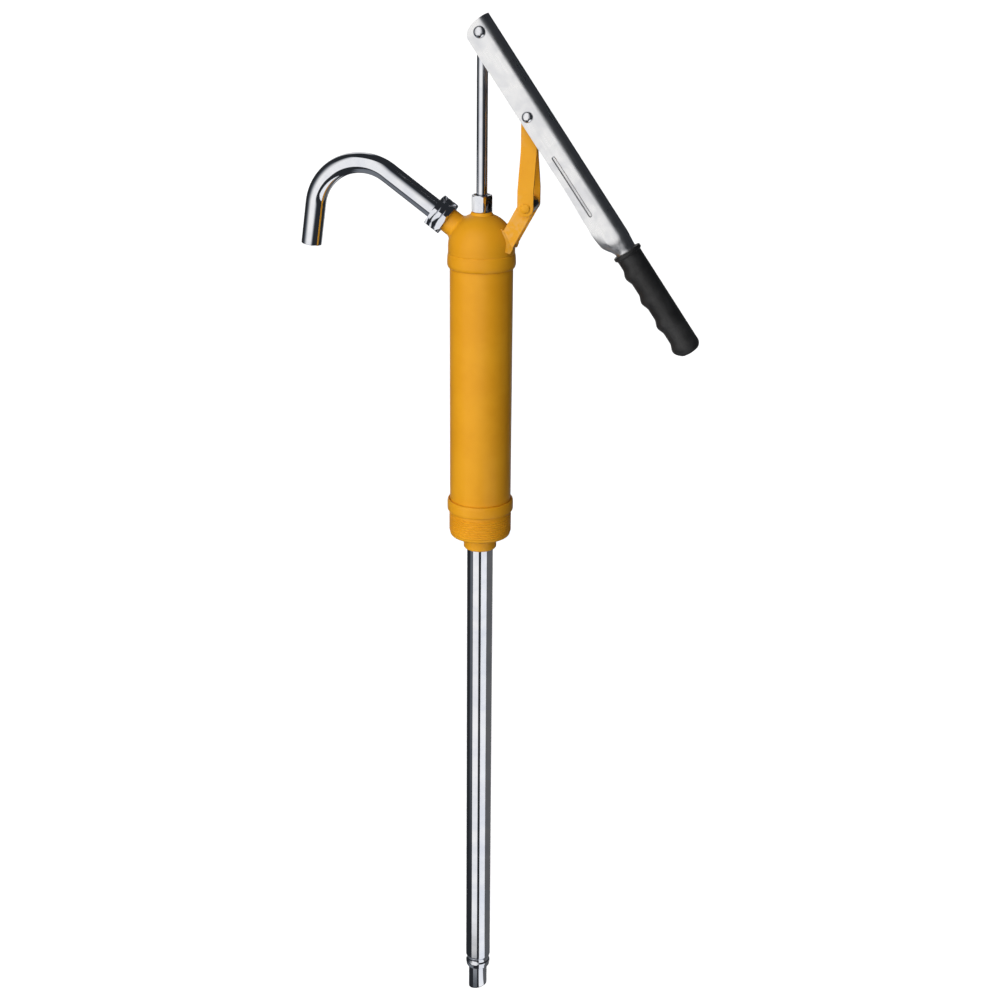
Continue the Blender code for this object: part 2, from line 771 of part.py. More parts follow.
def rod_and_eye(slide):
    rod_top = PIVOT_A.z - ROD_TOP
    rod = [
        (0.0, rod_top),
        (ROD_R - 0.0005, rod_top),
        (ROD_R, rod_top - 0.0005),
        (ROD_R, PISTON_SHOULDER),
        (ROD_THREAD_R, PISTON_SHOULDER),
        (ROD_THREAD_R, ROD_BOTTOM + 0.0005),
        (ROD_THREAD_R - 0.0005, ROD_BOTTOM),
        (0.0, ROD_BOTTOM),
    ]
    place(turned("piston_rod", rod, closed=False), CHROME, slide)
    eye = place(cylinder("rod_eye", EYE_R, -EYE_HALF, EYE_HALF, "Y", SIDES, PIVOT_A), STEEL, slide)
    bottom, top = EYE_SOCKET
    join(eye, cylinder("rod_eye_socket", EYE_SOCKET_R, PIVOT_A.z - bottom, PIVOT_A.z - top))
    cut(eye, cylinder("rod_eye_thread", ROD_R + 0.0002, PIVOT_A.z - 0.03, rod_top + GAP))
    cut(eye, cylinder("rod_eye_hole", PIN_R + RUNNING, -0.02, 0.02, "Y", SIDES, PIVOT_A))


def piston(slide):
    thicknesses = (
        STOP_THICK,
        SLEEVE_LENGTH,
        PLATE_THICK,
        CUP_THICK,
        BACKING_THICK,
        LOCK_THICK,
        PISTON_NUT_LENGTH,
    )
    stop, sleeve, top_plate, leather, backing, lock, end_nut = stacked(PISTON_SHOULDER, thicknesses)
    bore = ROD_THREAD_R + 0.0002
    place(ring("piston_valve_stop", bore, STOP_R, *stop), STEEL, slide)
    place(ring("piston_valve_sleeve", bore, SLEEVE_R, *sleeve), BRASS, slide)
    ports(place(ring("piston_plate", bore, PLATE_R, *top_plate), STEEL, slide), *top_plate)

    floor, seat = leather
    wet = BARREL_R - BARREL_WALL - GAP
    cup = [
        (wet, seat + CUP_RIM),
        (wet, floor + 0.0007),
        (wet - 0.0007, floor),
        (bore, floor),
        (bore, seat),
        (CUP_LIP_R, seat),
        (CUP_LIP_R, seat + CUP_RIM),
    ]
    ports(place(turned("piston_cup", cup, steps=BIG_SIDES), LEATHER, slide), *leather)
    ports(place(ring("piston_backing_plate", bore, BACKING_R, *backing), STEEL, slide), *backing)
    place(ring("piston_lock_washer", bore, LOCK_R, *lock), STEEL, slide)

    low, high = end_nut
    corner = PISTON_NUT_AF / math.sqrt(3)
    envelope = [
        (0.0, high),
        (corner * 0.90, high),
        (corner * 1.01, high - 0.0008),
        (corner * 1.01, low + 0.0008),
        (corner * 0.90, low),
        (0.0, low),
    ]
    through = [(0.0, high + 0.001), (bore, high + 0.001), (bore, low - 0.001), (0.0, low - 0.001)]
    nut("piston_nut", PISTON_NUT_AF, 0.0, envelope, through, STEEL, slide)

    lift = empty("piston_valve_lift", (0.0, 0.0, sleeve[0]))
    disc = ring("piston_valve_disc", SLEEVE_R + GAP, PISTON_DISC_R, 0.0, PISTON_DISC_THICK)
    place(disc, NYLON, lift)


def rod_and_piston():
    slide = empty("rod_slide", (0.0, 0.0, 0.0))
    rod_and_eye(slide)
    piston(slide)


# ---------------------------------------------------------------- lever


def blend(a, b, share):
    return a + (b - a) * share


def smooth_step(low, high, value):
    share = min(1.0, max(0.0, (value - low) / (high - low)))
    return share * share * (3 - 2 * share)


def lever_half_section(x):
    """Half of the lever's outer skin at x, from its free edge to the middle of the web:
    (y, z), y at or below 0."""
    flat = LEVER_EDGE
    if x < 0.0:
        rise = math.sqrt(max(0.0, 1 - (x / LEVER_START) ** 2))
        flat = blend(LEVER_WEB - LEVER_CORNER_R, LEVER_EDGE, rise)
    curl = LEVER_CURL * smooth_step(LEVER_CURL_START, LEVER_CURL_END, x)
    deeper = 0.0015 * smooth_step(0.150, 0.205, x)
    channel = []
    for i in range(WALL_POINTS):
        z = blend(flat - deeper, LEVER_WEB - LEVER_CORNER_R, i / WALL_POINTS)
        below = max(0.0, LEVER_CURL_Z - z)
        channel.append((-LEVER_HALF + below * math.sin(curl), z + below * (1 - math.cos(curl))))
    corner = (-LEVER_HALF + LEVER_CORNER_R, LEVER_WEB - LEVER_CORNER_R)
    channel += arc(corner, LEVER_CORNER_R, 180, 90, CORNER_POINTS - 1)
    channel.append((0.0, LEVER_WEB))
    count = len(channel)
    start = -90 - 18
    tube = arc((0.0, LEVER_TUBE_Z), LEVER_TUBE_R, start, -270, count - 1)
    share = smooth_step(0.206, LEVER_TUBE_START - 0.002, x)
    return [(blend(a[0], b[0], share), blend(a[1], b[1], share)) for a, b in zip(channel, tube)]


def lever_channel(frame):
    """A U channel that is rolled into a tube where it enters the grip."""
    stations = [LEVER_START * math.sin(math.radians(angle)) for angle in range(90, -1, -18)]
    stations += [0.040, 0.083, LEVER_CURL_START]
    stations += [blend(LEVER_CURL_START, LEVER_CURL_END, i / 3) for i in range(1, 4)]
    stations += [blend(LEVER_CURL_END, LEVER_TUBE_START, i / 4) for i in range(1, 5)]
    stations.append(LEVER_TUBE_END)
    bm = bmesh.new()
    rows = []
    for x in stations:
        half = lever_half_section(x)
        whole = half + [(-y, z) for y, z in reversed(half[:-1])]
        rows.append([bm.verts.new((x, y, z)) for y, z in whole])
    for row, next_row in zip(rows, rows[1:]):
        for i in range(len(row) - 1):
            bm.faces.new((row[i], next_row[i], next_row[i + 1], row[i + 1]))
    bmesh.ops.recalc_face_normals(bm, faces=bm.faces)
    lever = place(mesh_object("lever_channel", bm), STEEL, frame)
    wall = lever.modifiers.new("wall", "SOLIDIFY")
    wall.thickness = LEVER_WALL
    wall.offset = -1.0
    wall.use_even_offset = True
    lever_b = in_lever(PIVOT_B)
    for name, at in (("rod_pin_holes", Vector()), ("fulcrum_holes", lever_b)):
        cut(lever, cylinder(name, PIN_R + PIN_SLIP, -0.03, 0.03, "Y", 24, at))
    start, end, height, width = SLOT
    outline = arc((start + width / 2, height), width / 2, 90, 270, 6)
    outline += arc((end - width / 2, height), width / 2, -90, 90, 6)
    cut(lever, plate("lever_slot", outline, -0.03, 0.03))


def in_lever(point):
    """A point of the pump's frame at rest, in the lever's own frame."""
    return Matrix.Rotation(-LEVER_LEAN, 3, "Y") @ (point - PIVOT_A)


def grip_radius(x, angle):
    """The grip's outer radius: a flange at its mouth, four finger ridges under it and a
    rounded end. angle is 0 on the side away from the web."""
    radius = GRIP_R
    flange = 1 - smooth_step(0.0030, 0.0048, x - GRIP_START)
    radius += (GRIP_FLANGE_R - GRIP_R) * flange
    for middle in GRIP_BUMPS:
        near = max(0.0, 1 - abs(x - middle) / 0.0085)
        facing = max(0.0, math.cos(angle)) ** 1.5
        radius += GRIP_BUMP * math.sin(near * math.pi / 2) ** 2 * facing
    left = (GRIP_END - x) / 0.0075
    if left < 1:
        radius -= 0.0070 * (1 - math.sqrt(max(0.0, 1 - (1 - left) ** 2)))
    return radius


def lever_grip(frame):
    stations = [GRIP_START, GRIP_START + 0.0007, GRIP_START + 0.0030, GRIP_START + 0.0045]
    for middle in GRIP_BUMPS:
        stations += [middle + offset for offset in (-0.0085, -0.0040, 0.0)]
        if middle != GRIP_BUMPS[-1]:
            stations += [middle + 0.0040, middle + 0.0085]
    stations += [GRIP_END - 0.0045, GRIP_END - 0.0024, GRIP_END - 0.0008, GRIP_END]
    bm = bmesh.new()
    rows = []
    for x in sorted(stations):
        row = []
        for i in range(GRIP_SIDES):
            angle = 2 * math.pi * i / GRIP_SIDES
            radius = grip_radius(x, angle)
            if x == GRIP_START:
                radius -= 0.0008
            y = radius * math.sin(angle)
            z = GRIP_Z - radius * math.cos(angle)
            row.append(bm.verts.new((x, y, z)))
        rows.append(row)
    for row, next_row in zip(rows, rows[1:]):
        for i in range(GRIP_SIDES):
            j = (i + 1) % GRIP_SIDES
            bm.faces.new((row[i], row[j], next_row[j], next_row[i]))
    bm.faces.new(rows[0])
    bm.faces.new(rows[-1])
    bmesh.ops.recalc_face_normals(bm, faces=bm.faces)
    grip = place(mesh_object("lever_grip", bm), RUBBER, frame)
    bore_end = LEVER_TUBE_END + 0.0005
    at = (0.0, 0.0, LEVER_TUBE_Z)
    cut(grip, cylinder("grip_bore", LEVER_TUBE_R + GAP, 0.20, bore_end, "X", SIDES, at))


def lever_pins(frame):
    inner = LEVER_HALF - LEVER_WALL
    rivet("rod_pin", *ROD_PIN_HEAD, PIN_R, LEVER_HALF, CHROME, frame, (0.0, 0.0, 0.0))
    for name, side in (("rod_pin_spacer_front", -1), ("rod_pin_spacer_rear", 1)):
        spacer = ring(name, PIN_R + PIN_SLIP, ROD_SPACER_R, EYE_HALF + GAP, inner - 2 * GAP)
        place(spacer, STEEL, frame, (0.0, 0.0, 0.0), (-side * math.pi / 2, 0.0, 0.0))
    lever_b = in_lever(PIVOT_B)
    half = rivet_profile(*FULCRUM_HEAD, PIN_R, LEVER_HALF)
    half += [(PIN_R, inner + PIN_SLIP), (0.0, inner + PIN_SLIP)]
    for name, side in (("fulcrum_rivet_front", -1), ("fulcrum_rivet_rear", 1)):
        stub = turned(name, half, closed=False, steps=RIVET_SIDES)
        place(stub, CHROME, frame, lever_b, (-side * math.pi / 2, 0.0, 0.0))


def lever():
    frame = empty("lever_pivot", PIVOT_A, (0.0, LEVER_LEAN, 0.0))
    lever_channel(frame)
    lever_grip(frame)
    lever_pins(frame)


# ---------------------------------------------------------------- link


def link_strap(name, side, frame):
    """A pressed strap with round ends, bent from the lever's middle out to the ears."""
    length = PIVOT_B.z - PIVOT_C.z
    bend_low, bend_high = STRAP_BENDS
    half = STRAP_THICK / 2
    lean = math.atan2(STRAP_LOWER_Y - STRAP_UPPER_Y, bend_high - bend_low)
    shift = half * math.tan(lean / 2)
    centre = [
        (STRAP_LOWER_Y, -0.012, 0.0),
        (STRAP_LOWER_Y, bend_low, shift),
        (STRAP_UPPER_Y, bend_high, shift),
        (STRAP_UPPER_Y, length + 0.012, 0.0),
    ]
    outer = [(y + half, z + s) for y, z, s in centre]
    inner = [(y - half, z - s) for y, z, s in reversed(centre)]
    strap = plate(name, outer + inner, -0.02, 0.02)
    # The outline was drawn as (y, z) across x, so it's turned a quarter about Z.
    strap.data.transform(Matrix.Rotation(math.radians(90 * side), 4, "Z"))
    place(strap, PAINT, frame)
    radius = STRAP_WIDTH / 2
    outline = arc((0.0, 0.0), radius, 180, 360, 12) + arc((0.0, length), radius, 0, 180, 12)
    cross(strap, plate(name + "_outline", outline, -0.03, 0.03))
    holes = ((RIVET_R + PIN_SLIP, 0.0), (PIN_R + PIN_SLIP, length))
    for radius, z in holes:
        tool = cylinder(f"{name}_hole_{z:.3f}", radius, -0.03, 0.03, "Y", 24, (0.0, 0.0, z))
        cut(strap, tool)


def link():
    frame = empty("link_pivot", PIVOT_C)
    link_strap("link_strap_front", -1, frame)
    link_strap("link_strap_rear", 1, frame)
    across = (math.pi / 2, 0.0, 0.0)
    upper = (0.0, 0.0, PIVOT_B.z - PIVOT_C.z)
    half = STRAP_UPPER_Y - STRAP_THICK / 2 - GAP
    washer = ring("link_upper_washer", PIN_R + PIN_SLIP, FULCRUM_WASHER_R, -half, half)
    place(washer, STEEL, frame, upper, across)
    low = STRAP_UPPER_Y + STRAP_THICK / 2 + GAP
    high = LEVER_HALF - LEVER_WALL - FULCRUM_PLAY
    for name, side in (("fulcrum_spacer_front", -1), ("fulcrum_spacer_rear", 1)):
        spacer = ring(name, PIN_R + PIN_SLIP, FULCRUM_SPACER_R, low, high)
        place(spacer, STEEL, frame, upper, (-side * math.pi / 2, 0.0, 0.0))
    place(cylinder("fulcrum_pin", PIN_R, -high, high, "Y"), STEEL, frame, upper)
    outer = STRAP_LOWER_Y + STRAP_THICK / 2
    rivet("bracket_rivet", *BRACKET_HEAD, RIVET_R, outer, PAINT, frame, (0.0, 0.0, 0.0))
    half = EAR_Y - EAR_THICK / 2 - GAP
    spacer = ring("bracket_spacer", RIVET_R + PIN_SLIP, BRACKET_SPACER_R, -half, half)
    place(spacer, STEEL, frame, (0.0, 0.0, 0.0), across)


def main():
    head_dome()
    barrel()
    gland()
    bracket_ear("bracket_ear_front", -1)
    bracket_ear("bracket_ear_rear", 1)
    outlet = outlet_frame()
    union_nut(outlet)
    spout(outlet)
    bung_adapter()
    foot_valve()
    suction_tubes()
    rod_and_piston()
    lever()
    link()


main()
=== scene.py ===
"""Looks of the lever-action drum pump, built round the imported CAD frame.

Metres, +Z up, in the CAD's frame. Each visible CAD piece is stood for by a finely built
one on the same body; the sealed inner pieces keep their CAD meshes and get finishes.
"""

import json
import math

import bmesh
import bpy
from mathutils import Matrix, Vector


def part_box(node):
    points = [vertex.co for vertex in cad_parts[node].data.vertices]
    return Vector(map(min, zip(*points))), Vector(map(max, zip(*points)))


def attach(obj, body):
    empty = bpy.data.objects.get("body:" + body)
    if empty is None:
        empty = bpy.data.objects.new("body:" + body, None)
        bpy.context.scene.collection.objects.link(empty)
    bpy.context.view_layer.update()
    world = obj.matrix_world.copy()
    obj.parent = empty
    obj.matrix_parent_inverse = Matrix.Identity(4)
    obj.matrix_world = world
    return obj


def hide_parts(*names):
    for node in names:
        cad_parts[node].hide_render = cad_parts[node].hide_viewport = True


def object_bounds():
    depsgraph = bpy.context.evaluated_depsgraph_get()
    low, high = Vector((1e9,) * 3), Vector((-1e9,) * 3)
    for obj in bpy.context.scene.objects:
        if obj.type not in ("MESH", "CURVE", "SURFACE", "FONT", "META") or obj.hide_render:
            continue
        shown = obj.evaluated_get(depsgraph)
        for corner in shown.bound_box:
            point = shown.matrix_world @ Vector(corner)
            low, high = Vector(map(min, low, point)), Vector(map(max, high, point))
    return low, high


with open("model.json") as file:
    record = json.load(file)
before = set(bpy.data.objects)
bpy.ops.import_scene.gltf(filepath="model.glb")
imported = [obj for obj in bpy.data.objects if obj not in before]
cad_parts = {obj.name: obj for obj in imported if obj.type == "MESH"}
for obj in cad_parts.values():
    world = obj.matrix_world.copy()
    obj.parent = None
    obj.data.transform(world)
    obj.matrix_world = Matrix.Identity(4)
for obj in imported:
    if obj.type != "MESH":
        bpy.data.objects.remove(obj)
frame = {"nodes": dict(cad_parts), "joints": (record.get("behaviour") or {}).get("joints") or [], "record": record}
CAD_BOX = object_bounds()


def joint(name):
    return next(j for j in frame["joints"] if j["name"] == name)


def joint_point(name):
    return Vector(joint(name)["pos_m"])


# ---------------------------------------- sizes

GAP = 0.0003  # left between pieces that meet
CUT_PAST = 0.0010  # how far a cutting tool runs on past the piece
ON_AXIS = 1e-7
PIVOT_A = joint_point("lever_swing")
PIVOT_C = joint_point("link_swing")
DOME = joint_point("spout_swivel")
PIVOT_B = (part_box("fulcrum_pin")[0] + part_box("fulcrum_pin")[1]) / 2
BARREL_LOW, BARREL_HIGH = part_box("barrel_tube")
BARREL_R = BARREL_HIGH.x
BARREL_BORE_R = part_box("head_gasket")[1].x - 0.0015
DOME_R = 0.0308
DOME_INNER_R = 0.0284
SKIRT_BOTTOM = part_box("head_dome")[0].z
NECK_R = 0.0072
NECK_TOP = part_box("head_dome")[1].z
NECK_BORE_R = 0.0063
NECK_HOLLOW = (0.0095, 0.2720)  # radius and top of the dome's inside under the neck
SEAT_R = 0.0094  # the seat that the gland nut stands on, and its foot on the dome
SEAT_FOOT_R = 0.0106
SHOULDER_Z = 0.2492  # where the skirt's bore for the barrel ends

GLAND_LOW, GLAND_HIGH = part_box("gland_nut")
GLAND_AF = 0.0180
GLAND_CORNER = -70
GLAND_MOUTH_R = 0.0078
GLAND_WIPER_R = 0.0070
PACKING_HEIGHT = 0.0053
ROD_LOW, ROD_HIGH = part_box("piston_rod")
ROD_R = ROD_HIGH.x
ROD_THREAD = (0.0040, 0.2300)  # radius and top of the thread that holds the piston

OUTLET_RISE = math.radians(35.5)
OUTLET_R = 0.0114
OUTLET_THREAD_R = 0.0108
OUTLET_BORE_R = 0.0082
OUTLET_SHOULDER = 0.0384
OUTLET_END = 0.0460
BOSS_SPREAD = math.radians(25.2)  # how far the boss's foot reaches round the dome
UNION = (0.0390, 0.0542, 0.0506)  # start, end and collar, along the outlet
UNION_AF = 0.0310
UNION_CORNER = 109
GROOVE = (0.0002, 0.0009)  # half widths of a V groove, at its floor and at its mouth
SPOUT_R = 0.00953
SPOUT_WALL = 0.0012
SPOUT_START = 0.0475
SPOUT_BEND_START = 0.1074
SPOUT_BEND_R = 0.0447
SPOUT_BEND = OUTLET_RISE + math.radians(90 - 8.1)
SPOUT_LEG = 0.0390
SPOUT_RIM = 0.0008  # the last stretch of a pipe's wall, where its rim is rounded

FLANGE_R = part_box("bung_adapter")[1].x
FLANGE_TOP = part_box("bung_adapter")[1].z
THREAD_R = 0.0298
THREAD_ROOT_R = 0.0290
THREAD_PITCH = 0.00231
THREAD_START = -0.0030
THREAD_END = -0.0238
THREAD_RUN_IN = 0.0012
THREAD_RUN_OUT = 0.0030
ADAPTER_BOTTOM = -0.0260
BOSS_R = 0.0159
BOSS_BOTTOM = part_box("bung_adapter")[0].z
BOWL_FLOOR = -0.0140
BOWL_R = 0.0250
PORT_R = 0.0105
TUBE_LOW, TUBE_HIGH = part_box("suction_tube_outer")
TUBE_R = TUBE_HIGH.x
TUBE_WALL = 0.0013
INNER_LOW, INNER_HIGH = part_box("suction_tube_inner")
INNER_R = INNER_HIGH.x
INNER_WALL = 0.0010
INNER_CUT = math.radians(13)
INNER_END = INNER_LOW.z + INNER_R * math.tan(INNER_CUT)

PIN_R = 0.0040
RIVET_R = 0.0035
PIN_SLIP = 0.0002
EYE_R = 0.0080
EYE_HALF = 0.0045
EYE_SOCKET = (0.0062, -0.0135, -0.0050)  # radius, bottom and top, from the eye's middle
ROD_PIN_HEAD = (0.0054, 0.0031)  # radius and height
FULCRUM_HEAD = (0.0050, 0.0029)
BRACKET_HEAD = (0.0044, 0.0017)
HEAD_RIM = 0.12  # share of a rivet head's height that stands straight up

EAR_INNER = 0.01135
EAR_OUTER = 0.01385
EAR_END_R = 0.0073
EAR_BASE = Vector((0.0275, 0.0, 0.2660))
EAR_PAST_BASE = 0.0060
FOOT_INNER_R = DOME_R + GAP
FOOT_DEPTH = Vector((-0.0050, -0.0060, 0.0))  # back into the ear and the dome
FOOT_CORNERS = (  # the flange that leans from the fold in the ear out onto the dome
    (0.0248, EAR_OUTER - 0.0002, 0.2726),
    (0.0322, EAR_OUTER - 0.0002, 0.2580),
    (0.0218, EAR_OUTER + 0.0004, 0.2753),
    (0.0262, EAR_OUTER + 0.0036, 0.2549),
    (0.0300, EAR_OUTER + 0.0018, 0.2532),
)

STRAP_WIDTH = 0.0147
STRAP_THICK = 0.0026
STRAP_UPPER_Y = 0.0026
STRAP_LOWER_Y = 0.01545
STRAP_BENDS = (0.0150, 0.0490)
STRAP_BEND = 0.0035
STRAP_EDGE = 0.0004

LEVER_LEAN = math.radians(55.05)
LEVER_HALF = 0.0125
LEVER_WALL = 0.0018
LEVER_WEB = 0.0116
LEVER_EDGE = -0.0126
LEVER_CORNER_R = 0.0075
LEVER_START = -0.0102
LEVER_DEEPER = 0.0015  # how much deeper the sides grow towards the grip, and where
LEVER_DEEPER_X = (0.1500, 0.2050)
LEVER_CURL = math.radians(32)
LEVER_CURL_X = (0.1950, 0.2270)
LEVER_CURL_Z = -0.0060
LEVER_ROLL_X = 0.2120  # where the channel starts to roll up into a tube
LEVER_TUBE = (0.2300, 0.3220)
LEVER_TUBE_R = 0.0099
LEVER_TUBE_Z = LEVER_WEB - LEVER_TUBE_R
SLOT = (0.1240, 0.1870, -0.0052, 0.0036)  # start, end, height and width
SLOT_EDGE = 0.0008  # depth of the slanted rim round the slot
GRIP = (0.2300, 0.3390)
GRIP_R = 0.01185
GRIP_Z = 0.00195
GRIP_FLANGE_R = 0.0135
GRIP_FLANGE_STEP = (0.0030, 0.0048)  # where the flange falls to the grip, from its start
GRIP_FLANGE_PART = 0.0055
GRIP_LIP = 0.0008
GRIP_END = (0.0075, 0.0070)  # length and fall of the rounded end
GRIP_BUMP = 0.0023
GRIP_BUMP_REACH = 0.0085
GRIP_BUMPS = (0.2510, 0.2775, 0.3040, 0.3300)
GRIP_SEAM = 0.00012

OUTLET_PLACE = Matrix.Translation(DOME) @ Matrix.Rotation(OUTLET_RISE - math.pi / 2, 4, "Y")
LEVER_PLACE = Matrix.Translation(PIVOT_A) @ Matrix.Rotation(LEVER_LEAN, 4, "Y")


def across(at, side=1):
    """Places a piece turned about Z so that its axis runs across the pump, out to a side."""
    return Matrix.Translation(at) @ Matrix.Rotation(-side * math.pi / 2, 4, "X")


# ---------------------------------------- mesh building


def mix(a, b, share):
    return a + (b - a) * share


def smooth_step(low, high, value):
    share = min(1.0, max(0.0, (value - low) / (high - low)))
    return share * share * (3 - 2 * share)


def steps(low, high, count):
    return [mix(low, high, i / count) for i in range(count + 1)]


def arc(centre, radius, start, end, count):
    """Points along an arc, angles in degrees, both ends included."""
    return [
        (centre[0] + radius * math.cos(a), centre[1] + radius * math.sin(a))
        for a in map(math.radians, steps(start, end, count))
    ]


def rounded(points, closed=False, count=4):
    """A polyline with its corners rounded. A point's third number is its rounding length."""
    made = []
    last = len(points) - 1
    for i, point in enumerate(points):
        here = Vector(point[:2])
        size = point[2] if len(point) > 2 else 0.0
        if size <= 0 or (not closed and i in (0, last)):
            made.append(tuple(here))
            continue
        before = Vector(points[i - 1][:2]) - here
        after = Vector(points[(i + 1) % len(points)][:2]) - here
        size = min(size, before.length * 0.48, after.length * 0.48)
        start, end = here + before.normalized() * size, here + after.normalized() * size
        for share in steps(0.0, 1.0, count):
            inner, outer = start.lerp(here, share), here.lerp(end, share)
            made.append(tuple(inner.lerp(outer, share)))
    return made


def build(name, verts, faces, place=None):
    mesh = bpy.data.meshes.new(name)
    mesh.from_pydata(verts, [], faces)
    bm = bmesh.new()
    bm.from_mesh(mesh)
    bmesh.ops.remove_doubles(bm, verts=bm.verts, dist=0.0000005)
    bmesh.ops.recalc_face_normals(bm, faces=bm.faces)
    bm.to_mesh(mesh)
    bm.free()
    if place is not None:
        mesh.transform(place)
    obj = bpy.data.objects.new(name, mesh)
    bpy.context.scene.collection.objects.link(obj)
    return obj


def turned(name, profile, place=None, sides=96, shape=None, where=None):
    """A profile of (radius, height) turned about Z. It is a closed loop unless it starts
    and ends on the axis. shape changes a radius by angle, and where bends the axis."""
    verts, rows = [], []
    for r, z in profile:
        count = 1 if r < ON_AXIS else sides
        first = len(verts)
        for i in range(count):
            angle = 2 * math.pi * i / sides
            radius = shape(angle, r, z) if shape else r
            if where:
                verts.append(where(radius, angle, z))
            else:
                verts.append((radius * math.cos(angle), radius * math.sin(angle), z))
        rows.append([first + (i if count > 1 else 0) for i in range(sides)])
    pairs = list(zip(rows, rows[1:]))
    if profile[0][0] > ON_AXIS:
        pairs.append((rows[-1], rows[0]))
    faces = []
    for a, b in pairs:
        for i in range(sides):
            j = (i + 1) % sides
            corners = list(dict.fromkeys((a[i], a[j], b[j], b[i])))
            if len(corners) > 2:
                faces.append(corners)
    return build(name, verts, faces, place)


def ring(name, inner, outer, low, high, place=None, edge=0.0003, sides=96):
    loop = [(outer, high, edge), (outer, low, edge), (inner, low, edge), (inner, high, edge)]
    return turned(name, rounded(loop, closed=True), place, sides)


def lofted(name, rows, place=None):
    """Rows of points, each a closed loop of the same length, with both ends filled."""
    count = len(rows[0])
    verts = [point for row in rows for point in row]
    faces = []
    for k in range(len(rows) - 1):
        for i in range(count):
            j = (i + 1) % count
            faces.append((k * count + i, k * count + j, (k + 1) * count + j, (k + 1) * count + i))
    faces.append(tuple(range(count)))
    faces.append(tuple(range((len(rows) - 1) * count, len(rows) * count)))
    return build(name, verts, faces, place)


def plate(name, outline, low, high, place=None):
    """A flat piece with its outline of (x, z) points, between two values of y."""
    return lofted(name, [[(x, y, z) for x, z in outline] for y in (low, high)], place)


def ball(name, radius, at):
    profile = [(0.0, radius)]
    profile += [(radius * math.sin(a), radius * math.cos(a)) for a in steps(0, math.pi, 72)[1:-1]]
    profile += [(0.0, -radius)]
    return turned(name, profile, Matrix.Translation(at), 128)


def hull(name, points):
    """The convex solid round some points."""
    shape = bmesh.new()
    for point in points:
        shape.verts.new(point)
    bmesh.ops.convex_hull(shape, input=shape.verts)
    loose = [v for v in shape.verts if not v.link_faces]
    bmesh.ops.delete(shape, geom=loose, context="VERTS")
    mesh = bpy.data.meshes.new(name)
    shape.to_mesh(mesh)
    shape.free()
    obj = bpy.data.objects.new(name, mesh)
    bpy.context.scene.collection.objects.link(obj)
    return obj


def settle(obj):
    """Applies the object's modifiers to its mesh."""
    bpy.context.view_layer.update()
    graph = bpy.context.evaluated_depsgraph_get()
    old = obj.data
    obj.data = bpy.data.meshes.new_from_object(obj.evaluated_get(graph))
    obj.modifiers.clear()
    bpy.data.meshes.remove(old)
    return obj


def combine(obj, tool, operation):
    modifier = obj.modifiers.new("join", "BOOLEAN")
    modifier.operation = operation
    modifier.object = tool
    modifier.solver = "EXACT"
    settle(obj)
    bpy.data.objects.remove(tool)
    return obj


def cut(obj, tool):
    return combine(obj, tool, "DIFFERENCE")


def join(obj, tool):
    return combine(obj, tool, "UNION")


def cross(obj, tool):
    return combine(obj, tool, "INTERSECT")


def bevelled(obj, width, angle=30, segments=2):
    modifier = obj.modifiers.new("edges", "BEVEL")
    modifier.width = width
    modifier.segments = segments
    modifier.limit_method = "ANGLE"
    modifier.angle_limit = math.radians(angle)
    return settle(obj)


def drilled(obj, radius, low, high, place=None, sides=64):
    """Drills a round hole, between two heights along its own axis."""
    outline = [(0.0, high), (radius, high), (radius, low), (0.0, low)]
    return cut(obj, turned("bore", outline, place, sides))


def piece(obj, body, finish, slot, *stands_for, crease=32):
    """Finishes a piece: smooth shading with creases, a material and a body. Its slot is not used."""
    obj.data.materials.clear()
    obj.data.materials.append(finish)
    for polygon in obj.data.polygons:
        polygon.use_smooth = True
        polygon.material_index = 0
    obj.data.set_sharp_from_angle(angle=math.radians(crease))
    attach(obj, body)
    if stands_for:
        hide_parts(*stands_for)
    return obj


# ---------------------------------------- finishes


